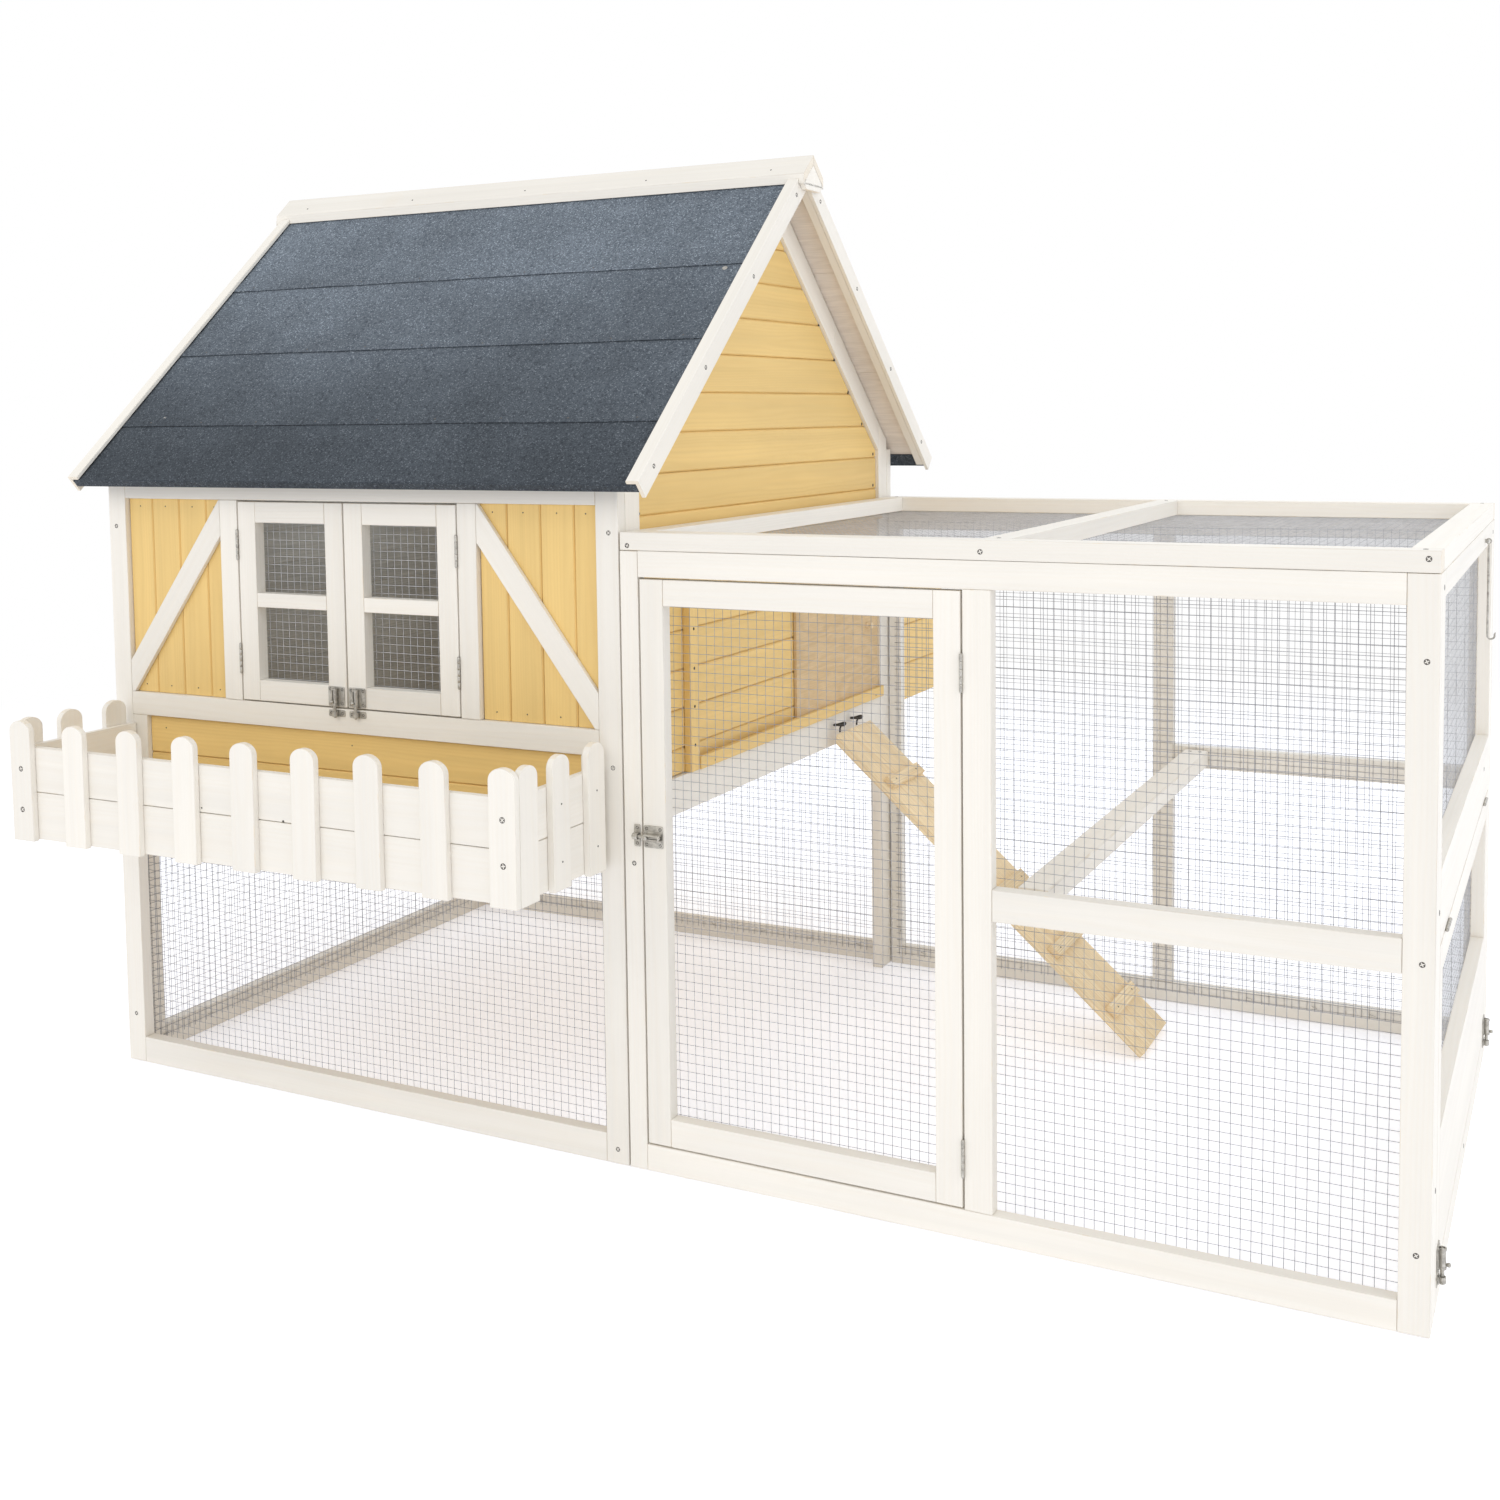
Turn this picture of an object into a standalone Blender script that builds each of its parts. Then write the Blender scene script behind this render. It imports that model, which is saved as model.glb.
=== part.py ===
"""Timber chicken coop: a gabled hen house standing beside a wire run.

Axes: +X runs along the front from the house to the run, +Y to the back, +Z up.
The origin is the centre of the overall bounding box, on the ground. Layout numbers below are
measured from the front left ground corner of the house and shifted when a piece is finished.
All lengths are metres. A name for a span holds a (low, high) pair along one axis.
"""
import bpy
import bmesh
import math
from mathutils import Vector, Matrix

for old_object in list(bpy.data.objects):
    bpy.data.objects.remove(old_object, do_unlink=True)

# ------------------------------------------------------------ driving dimensions
LENGTH = 2.010          # house plus run, along the front
DEPTH = 1.000           # front face to back face
HOUSE_W = 0.960         # hen house along the front
PANEL_H = 0.869         # height of the run panels
TIMBER = 0.020          # timber thickness of every upright frame
GAP = 0.0004            # clearance between neighbouring pieces
BITE = 0.0002           # overlap of parts that are joined into one body
WIRE = 0.0012           # thickness of the netting sheets

RIDGE_Z = 1.4556        # line of the barge board tops at the ridge
RIDGE_Y = DEPTH / 2
ROOF_TAN = 0.8850       # rise over run of both slopes
ROOF_ANGLE = math.atan(ROOF_TAN)
EAVE = 0.0525           # overhang at the eaves
ROOF_T = 0.0145         # felted roof board
FELT_DROP = 0.0065      # felt surface below the barge board tops
ROOF_X = (-0.0330, 1.0240)      # outer faces of the barge boards
RIDGE_CAP_X = (-0.0445, 1.0335)

HINGE_OUT = 0.0020      # hinge pins stand this far outside the faces
BOLT_KNOB_OUT = 0.0150  # bolt knobs stand this far outside the faces
PLANTER_DEPTH = 0.228
NEST_DEPTH = 0.300
LID_OVERHANG = 0.022

X_RANGE = (RIDGE_CAP_X[0], LENGTH + BOLT_KNOB_OUT)
Y_RANGE = (-PLANTER_DEPTH, DEPTH + NEST_DEPTH + LID_OVERHANG)
SHIFT = Vector((sum(X_RANGE) / 2, sum(Y_RANGE) / 2, 0.0))

# ------------------------------------------------------------ materials
FINISHES = {
    "cream_paint": dict(colour=(0.86, 0.82, 0.72), roughness=0.55, metallic=0.0),
    "yellow_paint": dict(colour=(0.83, 0.55, 0.20), roughness=0.60, metallic=0.0),
    "roof_felt": dict(colour=(0.065, 0.078, 0.090), roughness=0.92, metallic=0.0),
    "pine": dict(colour=(0.72, 0.52, 0.27), roughness=0.70, metallic=0.0),
    "plywood": dict(colour=(0.56, 0.40, 0.22), roughness=0.72, metallic=0.0),
    "wire_mesh": dict(colour=(0.52, 0.53, 0.54), roughness=0.40, metallic=0.9),
    "zinc": dict(colour=(0.60, 0.60, 0.58), roughness=0.35, metallic=0.9),
}


def make_material(name, colour, roughness, metallic):
    material = bpy.data.materials.new(name)
    material.use_nodes = True
    shader = material.node_tree.nodes["Principled BSDF"]
    shader.inputs["Base Color"].default_value = (*colour, 1.0)
    shader.inputs["Roughness"].default_value = roughness
    shader.inputs["Metallic"].default_value = metallic
    material.diffuse_color = (*colour, 1.0)
    return material


# ------------------------------------------------------------ mesh helpers
SHARP_ANGLE = math.radians(35)
WELD_DISTANCE = 0.00002


def inset(span, amount):
    return span[0] + amount, span[1] - amount


def around(centre, half):
    return centre - half, centre + half


def middle(span):
    return (span[0] + span[1]) / 2


def body_to_object(name, body):
    """Turn a bmesh into a linked object with its normals facing out."""
    bmesh.ops.recalc_face_normals(body, faces=body.faces[:])
    mesh = bpy.data.meshes.new(name)
    body.to_mesh(mesh)
    body.free()
    piece = bpy.data.objects.new(name, mesh)
    bpy.context.scene.collection.objects.link(piece)
    return piece


def finish(name, body, kind, origin=None, smooth=False):
    """Write a bmesh given in layout coordinates as one object of the coop."""
    pivot = SHIFT if origin is None else Vector(origin)
    for vertex in body.verts:
        vertex.co -= pivot
    piece = body_to_object(name, body)
    piece.location = pivot - SHIFT
    piece.data.materials.append(make_material(name + "_" + kind, **FINISHES[kind]))
    if smooth:
        piece.data.shade_smooth()
        piece.data.set_sharp_from_angle(angle=SHARP_ANGLE)


def lattice(x_cuts, y_cuts, z_cuts, solid):
    """Closed boxy body: the cells of a grid for which solid(i, j, k) is true."""
    body = bmesh.new()
    grid = {}

    def corner(i, j, k):
        if (i, j, k) not in grid:
            grid[(i, j, k)] = body.verts.new((x_cuts[i], y_cuts[j], z_cuts[k]))
        return grid[(i, j, k)]

    counts = len(x_cuts) - 1, len(y_cuts) - 1, len(z_cuts) - 1

    def full(*cell):
        inside = all(0 <= index < count for index, count in zip(cell, counts))
        return inside and solid(*cell)

    # step to the neighbouring cell, then the corners of the face shared with it
    sides = (
        ((-1, 0, 0), ((0, 0, 0), (0, 0, 1), (0, 1, 1), (0, 1, 0))),
        ((1, 0, 0), ((1, 0, 0), (1, 1, 0), (1, 1, 1), (1, 0, 1))),
        ((0, -1, 0), ((0, 0, 0), (1, 0, 0), (1, 0, 1), (0, 0, 1))),
        ((0, 1, 0), ((0, 1, 0), (0, 1, 1), (1, 1, 1), (1, 1, 0))),
        ((0, 0, -1), ((0, 0, 0), (0, 1, 0), (1, 1, 0), (1, 0, 0))),
        ((0, 0, 1), ((0, 0, 1), (1, 0, 1), (1, 1, 1), (0, 1, 1))),
    )
    for i in range(counts[0]):
        for j in range(counts[1]):
            for k in range(counts[2]):
                if not full(i, j, k):
                    continue
                for (di, dj, dk), ring in sides:
                    if not full(i + di, j + dj, k + dk):
                        body.faces.new([corner(i + a, j + b, k + c) for a, b, c in ring])
    return body


def box(x_span, y_span, z_span):
    return lattice(x_span, y_span, z_span, lambda i, j, k: True)


def frame(plane, across, up, layer, posts=(0, 2), rails=(0, 2), extra=()):
    """Flat timber frame in the xz, yz or xy plane, its thickness filling the span `layer`.

    `across` and `up` are the cuts along the two axes of the plane. Cells in the columns
    `posts` and the rows `rails` are timber, and so are the single (column, row) cells `extra`.
    """
    def timber(column, row):
        return column in posts or row in rails or (column, row) in extra

    if plane == "xz":
        return lattice(across, layer, up, lambda i, j, k: timber(i, k))
    if plane == "yz":
        return lattice(layer, across, up, lambda i, j, k: timber(j, k))
    return lattice(across, up, layer, lambda i, j, k: timber(i, j))


def bridge(body, low_ring, high_ring):
    """Close the body between two rings of vertices, with a cap on each."""
    body.faces.new(low_ring)
    body.faces.new(high_ring)
    for i in range(len(low_ring)):
        j = (i + 1) % len(low_ring)
        body.faces.new((low_ring[i], low_ring[j], high_ring[j], high_ring[i]))
    return body


def prism(points, axis, span):
    """Extrude a polygon. axis 'x': points are (y, z); 'y': (x, z); 'z': (x, y)."""
    body = bmesh.new()
    slot = "xyz".index(axis)
    low_ring, high_ring = (
        [body.verts.new((*point[:slot], level, *point[slot:])) for point in points]
        for level in span)
    return bridge(body, low_ring, high_ring)


def cylinder(start, end, radius, segments=12):
    body = bmesh.new()
    direction = (end - start).normalized()
    side = direction.orthogonal().normalized()
    other = direction.cross(side)
    low_ring, high_ring = [], []
    for n in range(segments):
        angle = 2 * math.pi * (n + 0.5) / segments
        offset = side * (radius * math.cos(angle)) + other * (radius * math.sin(angle))
        low_ring.append(body.verts.new(start + offset))
        high_ring.append(body.verts.new(end + offset))
    return bridge(body, low_ring, high_ring)


def combine(base, tools, mode):
    """Exact boolean of bmeshes; returns the result as a new bmesh."""
    target = body_to_object("work", base)
    helpers = [target]
    for tool in tools:
        cutter = body_to_object("cutter", tool)
        modifier = target.modifiers.new("cut", "BOOLEAN")
        modifier.operation = mode
        modifier.solver = "EXACT"
        modifier.object = cutter
        helpers.append(cutter)
    bpy.context.view_layer.update()
    evaluated = target.evaluated_get(bpy.context.evaluated_depsgraph_get())
    result = bmesh.new()
    result.from_mesh(evaluated.to_mesh())
    evaluated.to_mesh_clear()
    for helper in reversed(helpers):
        mesh = helper.data
        bpy.data.objects.remove(helper, do_unlink=True)
        bpy.data.meshes.remove(mesh)
    bmesh.ops.remove_doubles(result, verts=result.verts[:], dist=WELD_DISTANCE)
    return result


# ------------------------------------------------------------ shared levels
POST = 0.036                             # width of the house corner posts
SIDE_RAFTER = 0.040                      # face width of the timber round each gable
FRONT_LAYER = (0.0, TIMBER)
REAR_LAYER = (DEPTH - TIMBER, DEPTH)
END_LAYER = (LENGTH - TIMBER, LENGTH)
BETWEEN_Y = inset((0.0, DEPTH), TIMBER + GAP)           # between front and rear frames
SIDE_OPENING_Y = inset((0.0, DEPTH), TIMBER + SIDE_RAFTER)
SHEET_FRONT_Y = (BETWEEN_Y[0], BETWEEN_Y[0] + WIRE)     # netting behind the front frames
SHEET_REAR_Y = (BETWEEN_Y[1] - WIRE, BETWEEN_Y[1])
SHEET_END_X = (END_LAYER[0] - GAP - WIRE, END_LAYER[0] - GAP)


def roof_line(y, drop):
    """Height at depth y of the line lying `drop` below the barge tops (square to them)."""
    return RIDGE_Z - ROOF_TAN * abs(y - RIDGE_Y) - drop / math.cos(ROOF_ANGLE)


ROOF_UNDER = FELT_DROP + ROOF_T + 0.0008    # underside of the roof boards, with clearance
SIDE_DROP = ROOF_UNDER + 0.0002             # top edges of the side frames
WALL_TOP = roof_line(0.0, ROOF_UNDER) - GAP

# ------------------------------------------------------------ house front
LOWER_BAY_X = inset((0.0, HOUSE_W), 0.067)
LOWER_BAY_Z = (0.455, 0.580)
LEFT_BAY_X = (POST, 0.237)
RIGHT_BAY_X = (HOUSE_W - LEFT_BAY_X[1], HOUSE_W - POST)
UPPER_BAY_Z = (0.617, 0.9305)
WINDOW_OPENING_X = (0.272, 0.690)

finish("house_front_frame",
       frame("xz",
             (0, POST, LOWER_BAY_X[0], LEFT_BAY_X[1], *WINDOW_OPENING_X,
              RIGHT_BAY_X[0], LOWER_BAY_X[1], HOUSE_W - POST, HOUSE_W),
             (0, 0.042, 0.415, *LOWER_BAY_Z, *UPPER_BAY_Z, WALL_TOP),
             FRONT_LAYER, posts=(0, 8), rails=(0, 2, 4, 6),
             extra=((1, 3), (7, 3), (3, 5), (5, 5))), "cream_paint")

GROOVE_DEPTH = 0.0026
GROOVE_HALF = 0.0022
FRONT_BOARD_Y = (0.0080, 0.0180)        # face and back of the front boarding


def board_profile(span, seams, face, back):
    """Outline (depth, along) of boarding with a V at every seam on its face side."""
    low, high = span
    bottom = face + math.copysign(GROOVE_DEPTH, back - face)
    points = [(face, low)]
    for seam in seams:
        if low + GROOVE_HALF * 1.5 < seam < high - GROOVE_HALF * 1.5:
            points += [(face, seam - GROOVE_HALF), (bottom, seam), (face, seam + GROOVE_HALF)]
    return points + [(face, high), (back, high), (back, low)]


# upright boards beside the windows, with the x of their seams
for side_name, bay_x, seams in (("left", LEFT_BAY_X, (0.087, 0.144, 0.201)),
                                ("right", RIGHT_BAY_X, (0.771, 0.828, 0.884))):
    profile = board_profile(inset(bay_x, GAP), seams, *FRONT_BOARD_Y)
    finish("siding_front_" + side_name,
           prism([(x, y) for y, x in profile], "z", inset(UPPER_BAY_Z, GAP)), "yellow_paint")

finish("siding_front_lower",
       prism(board_profile(inset(LOWER_BAY_Z, GAP), (0.4610, 0.5190), *FRONT_BOARD_Y), "x",
             inset(LOWER_BAY_X, GAP)), "yellow_paint")

# slanting braces in front of the upright boards, rising towards the windows
BRACE_Y = (0.0002, 0.0076)
brace_x0, brace_x1 = inset(LEFT_BAY_X, GAP)
brace_z0, brace_z1 = inset(UPPER_BAY_Z, GAP)
BRACE = (                               # x, z of the left brace
    (brace_x0, brace_z0), (brace_x0 + 0.006, brace_z0), (brace_x1, brace_z1 - 0.056),
    (brace_x1, brace_z1), (brace_x1 - 0.002, brace_z1), (brace_x0, 0.668),
)
finish("brace_left", prism(BRACE, "y", BRACE_Y), "cream_paint")
finish("brace_right", prism([(HOUSE_W - x, z) for x, z in BRACE], "y", BRACE_Y), "cream_paint")

# ------------------------------------------------------------ house sides
CUT_PAST = 0.01         # cutters run past the timber by this much
LEFT_RAIL_TOP = 0.4600
RIGHT_RAIL_TOP = 0.5225


def gable_outline(y_span, base, drop):
    """Five-sided (y, z) outline under both roof slopes."""
    front, rear = y_span
    return [(front, base), (rear, base), (rear, roof_line(rear, drop)),
            (RIDGE_Y, roof_line(RIDGE_Y, drop)), (front, roof_line(front, drop))]


def side_frame(name, x_span, lower_opening_z, rail_top):
    """Gable frame with an opening below its middle rail and another above it."""
    cut_x = inset(x_span, -CUT_PAST)
    gable = prism(gable_outline(BETWEEN_Y, 0.0, SIDE_DROP), "x", x_span)
    openings = [
        box(cut_x, SIDE_OPENING_Y, lower_opening_z),
        prism(gable_outline(SIDE_OPENING_Y, rail_top, SIDE_DROP + SIDE_RAFTER), "x", cut_x),
    ]
    finish(name, combine(gable, openings, "DIFFERENCE"), "cream_paint")


side_frame("house_left_frame", (0.0, TIMBER), (0.042, 0.415), LEFT_RAIL_TOP)
# the right frame has no bottom rail
side_frame("house_right_frame", (HOUSE_W - TIMBER, HOUSE_W), (-CUT_PAST, 0.468), RIGHT_RAIL_TOP)

BOARD_COVER = 0.0584                    # height of one horizontal board
GABLE_SEAMS = [0.5026 + BOARD_COVER * n for n in range(16)]
SLAB_TOP = 1.45                         # above the gable peak, trimmed to the slopes


def gable_boards(face, back, base):
    """Horizontal boarding filling the upper opening of a side frame."""
    slab = prism(board_profile((base, SLAB_TOP), GABLE_SEAMS, face, back), "y",
                 inset(SIDE_OPENING_Y, GAP))
    outline = gable_outline((0.0, DEPTH), base - 0.05, SIDE_DROP + SIDE_RAFTER + 0.0005)
    trim = prism(outline, "x", inset(sorted((face, back)), -0.02))
    return combine(slab, [trim], "INTERSECT")


finish("siding_left", gable_boards(0.0060, 0.0180, LEFT_RAIL_TOP + GAP), "yellow_paint")

# right boarding: pop hole, grooved door guides and an upright batten at their front end
RIGHT_FACE = 0.9540
GUIDE_ROOT = RIGHT_FACE - 0.004         # guides and batten start inside the boards
GUIDE_LIP_X = (0.9609, 0.9680)
GUIDE_Y = (0.2160, 0.9390)
GUIDE_Z = (0.5235, 0.8672)              # outer edges of the lower and upper guide


def door_guide(outer_z, groove_z, lip_z):
    """L section: a web between outer_z and groove_z, with a lip turned to lip_z."""
    lip_inner, lip_outer = GUIDE_LIP_X
    return prism([(GUIDE_ROOT, outer_z), (lip_outer, outer_z), (lip_outer, lip_z),
                  (lip_inner, lip_z), (lip_inner, groove_z), (GUIDE_ROOT, groove_z)],
                 "y", GUIDE_Y)


right_boards = gable_boards(RIGHT_FACE, RIGHT_FACE - 0.012, RIGHT_RAIL_TOP + 0.0005)
pop_hole = box((0.90, 1.0), (0.600, 0.900), (0.5375, 0.8300))
right_boards = combine(right_boards, [pop_hole], "DIFFERENCE")
door_fittings = [
    door_guide(GUIDE_Z[0], 0.5362, 0.5430),
    door_guide(GUIDE_Z[1], 0.8626, 0.8560),
    box((GUIDE_ROOT, 0.9660), (0.1900, GUIDE_Y[0] - GAP), GUIDE_Z),
]
finish("siding_right", combine(right_boards, door_fittings, "UNION"), "yellow_paint")

# sliding pop-hole door with its pull
POP_DOOR_X = (0.9547, 0.9603)
POP_DOOR_Y = (0.572, 0.928)
finish("pop_door",
       lattice((*POP_DOOR_X, 0.9720), (POP_DOOR_Y[0], 0.872, 0.882, POP_DOOR_Y[1]),
               (0.5368, 0.650, 0.676, 0.8620), lambda i, j, k: i == 0 or (j == 1 and k == 1)),
       "plywood", origin=(middle(POP_DOOR_X), middle(POP_DOOR_Y), 0.700))

# ------------------------------------------------------------ house back and floor
finish("house_rear_frame",
       frame("xz", (0, POST, HOUSE_W - POST, HOUSE_W),
             (0, 0.036, 0.415, 0.4600, 0.812, WALL_TOP), REAR_LAYER, rails=(0, 2, 4)),
       "cream_paint")
finish("house_floor",
       box(inset((0.0, HOUSE_W), TIMBER + 0.0008), (TIMBER + 0.0024, DEPTH - TIMBER - 0.0030),
           (0.4700, 0.4790)), "plywood")

# ------------------------------------------------------------ nest box
# hung on the back, open towards the house and at the top, closed by a sloping lid
NEST_X = (0.010, 0.950)
NEST_Y = (DEPTH + GAP, DEPTH + NEST_DEPTH)
NEST_BASE = 0.4900
NEST_TOP_HOUSE, NEST_TOP_REAR = 0.8050, 0.7150
NEST_WALL = 0.012
NEST_BAYS = 3
bay_pitch = (NEST_X[1] - NEST_X[0] - NEST_WALL) / NEST_BAYS

nest_shell = prism([(NEST_Y[0], NEST_BASE), (NEST_Y[1], NEST_BASE),
                    (NEST_Y[1], NEST_TOP_REAR), (NEST_Y[0], NEST_TOP_HOUSE)], "x", NEST_X)
hollows = []
for n in range(NEST_BAYS):
    bay_start = NEST_X[0] + NEST_WALL + n * bay_pitch
    hollows.append(box((bay_start, bay_start + bay_pitch - NEST_WALL),
                       (NEST_Y[0] - 0.02, NEST_Y[1] - NEST_WALL),
                       (NEST_BASE + NEST_WALL, 0.90)))
finish("nest_box", combine(nest_shell, hollows, "DIFFERENCE"), "yellow_paint")

LID_T = 0.014
LID_Y = (NEST_Y[0] + 0.0030, NEST_Y[1] + LID_OVERHANG)
LID_LIFT = 0.0012                       # lid underside above the box edges
LID_TAN = (NEST_TOP_HOUSE - NEST_TOP_REAR) / (NEST_Y[1] - NEST_Y[0])
lid_house_z, lid_rear_z = (NEST_TOP_HOUSE + LID_LIFT - LID_TAN * (y - NEST_Y[0]) for y in LID_Y)
finish("nest_box_lid",
       prism([(LID_Y[0], lid_house_z), (LID_Y[1], lid_rear_z),
              (LID_Y[1], lid_rear_z + LID_T), (LID_Y[0], lid_house_z + LID_T)], "x",
             (NEST_X[0] - 0.010, NEST_X[1] + 0.006)),
       "roof_felt", origin=(HOUSE_W / 2, DEPTH + 0.0060, 0.8270))

# ------------------------------------------------------------ roof
# side is -1 on the front slope and +1 on the rear slope
SLOPES = (("front", -1), ("rear", 1))
BARGE_T = 0.0060        # thickness of the L moulded barge boards
BARGE_DROP = 0.0310     # depth of the barge boards, square to the slope
BARGE_FLANGE = 0.0200   # width of the leg over the felt
LAP_DROP = FELT_DROP - 0.0003           # pieces lying on the felt stop this far down
PANEL_X = inset(ROOF_X, BARGE_T + GAP)
ROOF_BATTEN_W = 0.0140
CAP_HALF = 0.0370       # half width of the ridge cap


def eave_point(side, drop, setback=0.0):
    """Point (y, z) of the square cut at the eave."""
    y = RIDGE_Y + side * (RIDGE_Y + EAVE - setback)
    return (y - side * drop * math.sin(ROOF_ANGLE),
            roof_line(y, 0.0) - drop * math.cos(ROOF_ANGLE))


def slope_section(side, top_drop, bottom_drop, setback):
    """Section (y, z) of a board on one slope, cut square at the eave."""
    ridge_y = RIDGE_Y + side * 0.0006
    return [(ridge_y, roof_line(ridge_y, bottom_drop)), eave_point(side, bottom_drop, setback),
            eave_point(side, top_drop, setback), (ridge_y, roof_line(ridge_y, top_drop))]


def roof_panel(name, side):
    """Felted board with a batten glued under it along each barge."""
    board_drop = FELT_DROP + ROOF_T
    panel = prism(slope_section(side, FELT_DROP, board_drop, 0.0006), "x", PANEL_X)
    batten_section = slope_section(side, board_drop - 0.002, BARGE_DROP - GAP, 0.0120)
    battens = [prism(batten_section, "x", span)
               for span in ((PANEL_X[0], PANEL_X[0] + ROOF_BATTEN_W),
                            (PANEL_X[1] - ROOF_BATTEN_W, PANEL_X[1]))]
    finish(name, combine(panel, battens, "UNION"), "roof_felt")


def barge(name, side, outer_x, inward):
    """L moulding: one leg over the felt and one down the edge of the roof."""
    cap_y = RIDGE_Y + side * (CAP_HALF + GAP)
    ridge_y = RIDGE_Y + side * 0.0003
    edge_leg = prism([eave_point(side, 0.0), eave_point(side, BARGE_DROP),
                      (ridge_y, roof_line(ridge_y, BARGE_DROP)),
                      (ridge_y, roof_line(ridge_y, FELT_DROP)),
                      (cap_y, roof_line(cap_y, FELT_DROP)), (cap_y, roof_line(cap_y, 0.0))],
                     "x", sorted((outer_x, outer_x + inward * BARGE_T)))
    felt_leg = prism([eave_point(side, 0.0), eave_point(side, LAP_DROP),
                      (cap_y, roof_line(cap_y, LAP_DROP)), (cap_y, roof_line(cap_y, 0.0))],
                     "x", sorted((outer_x, outer_x + inward * BARGE_FLANGE)))
    finish(name, combine(edge_leg, [felt_leg], "UNION"), "cream_paint")


for slope_name, side in SLOPES:
    roof_panel("roof_" + slope_name, side)
    barge("barge_right_" + slope_name, side, ROOF_X[1], -1)
    barge("barge_left_" + slope_name, side, ROOF_X[0], 1)

# ridge capping: two boards meeting in an inverted V, with a plate below the V at each end
CAP_RISE = 0.0055       # cap surface above the barge board tops
cap_front, cap_rear = around(RIDGE_Y, CAP_HALF)
cap_section = (
    [(y, roof_line(y, -CAP_RISE)) for y in (RIDGE_Y, cap_front)]
    + [(y, roof_line(y, LAP_DROP)) for y in (cap_front, RIDGE_Y, cap_rear)]
    + [(cap_rear, roof_line(cap_rear, -CAP_RISE))])
plate_front, plate_rear = around(RIDGE_Y, CAP_HALF - 0.0004)
plate_section = [
    (RIDGE_Y, roof_line(RIDGE_Y, 0.0)), (plate_front, roof_line(plate_front, 0.0)),
    (plate_front, 1.4190), (RIDGE_Y - 0.0270, 1.4060), (RIDGE_Y + 0.0270, 1.4060),
    (plate_rear, 1.4190), (plate_rear, roof_line(plate_rear, 0.0)),
]
plate_ends = inset(RIDGE_CAP_X, 0.0003)
end_plates = [prism(plate_section, "x", (ROOF_X[1] + GAP, plate_ends[1])),
              prism(plate_section, "x", (plate_ends[0], ROOF_X[0] - GAP))]
finish("ridge_cap", combine(prism(cap_section, "x", RIDGE_CAP_X), end_plates, "UNION"),
       "cream_paint")

# ------------------------------------------------------------ planter box
PLANTER_X = (0.022, 0.938)
PICKET_W = 0.042
PICKET_T = 0.010
PICKET_Z = (0.424, 0.607)
PICKET_COUNT = 9        # across the front
PICKET_ARC_STEPS = 8
PLANTER_BOARD_T = 0.012
PLANTER_BOARD_Z = (PICKET_Z[0] + 0.002, 0.566)
BOARD_FRONT_Y = -PLANTER_DEPTH + PICKET_T               # back of the front pickets
BEHIND_BOARD_Y = BOARD_FRONT_Y + PLANTER_BOARD_T        # back of the front board


def picket(start, axis, layer):
    """Round-topped picket, its width running from `start`."""
    half = PICKET_W / 2
    rise = half * 0.80
    points = [(start, PICKET_Z[0]), (start + PICKET_W, PICKET_Z[0])]
    for n in range(PICKET_ARC_STEPS + 1):
        angle = math.pi * n / PICKET_ARC_STEPS
        points.append((start + half + half * math.cos(angle),
                       PICKET_Z[1] - rise + rise * math.sin(angle)))
    return prism(points, axis, layer)


def planter_side(name, outer_x, outward):
    """Board with three pickets on its outer face; outward is the sign of that face."""
    board = box(sorted((outer_x - outward * PICKET_T,
                        outer_x - outward * (PICKET_T + PLANTER_BOARD_T))),
                (BEHIND_BOARD_Y + GAP, -0.0006), PLANTER_BOARD_Z)
    picket_x = sorted((outer_x, outer_x - outward * (PICKET_T + BITE)))
    pickets = [picket(y, "x", picket_x) for y in (BOARD_FRONT_Y + 0.0006, -0.1410, -0.0520)]
    finish(name, combine(board, pickets, "UNION"), "cream_paint")


picket_pitch = (PLANTER_X[1] - PLANTER_X[0] - PICKET_W) / (PICKET_COUNT - 1)
front_board = box(inset(PLANTER_X, PICKET_T + GAP), (BOARD_FRONT_Y - BITE, BEHIND_BOARD_Y),
                  PLANTER_BOARD_Z)
front_pickets = [picket(PLANTER_X[0] + n * picket_pitch, "y", (-PLANTER_DEPTH, BOARD_FRONT_Y))
                 for n in range(PICKET_COUNT)]
finish("planter_front", combine(front_board, front_pickets, "UNION"), "cream_paint")
planter_side("planter_left", PLANTER_X[0], -1)
planter_side("planter_right", PLANTER_X[1], 1)
finish("planter_floor",
       box(inset(PLANTER_X, PICKET_T + PLANTER_BOARD_T + 0.0006),
           (BEHIND_BOARD_Y + 0.0006, -0.0010), (PICKET_Z[0] + 0.004, PICKET_Z[0] + 0.013)),
       "cream_paint")

# ------------------------------------------------------------ run panels
RUN_START = HOUSE_W + 0.0024
DOOR_JAMB_X = 1.4563    # post edge that carries the door hinges
FLAP_RAIL_Z = 0.4375    # rail edge that carries the flap hinges
RUN_ROOF_T = 0.0250
RUN_ROOF_BASE = PANEL_H + GAP

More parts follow.
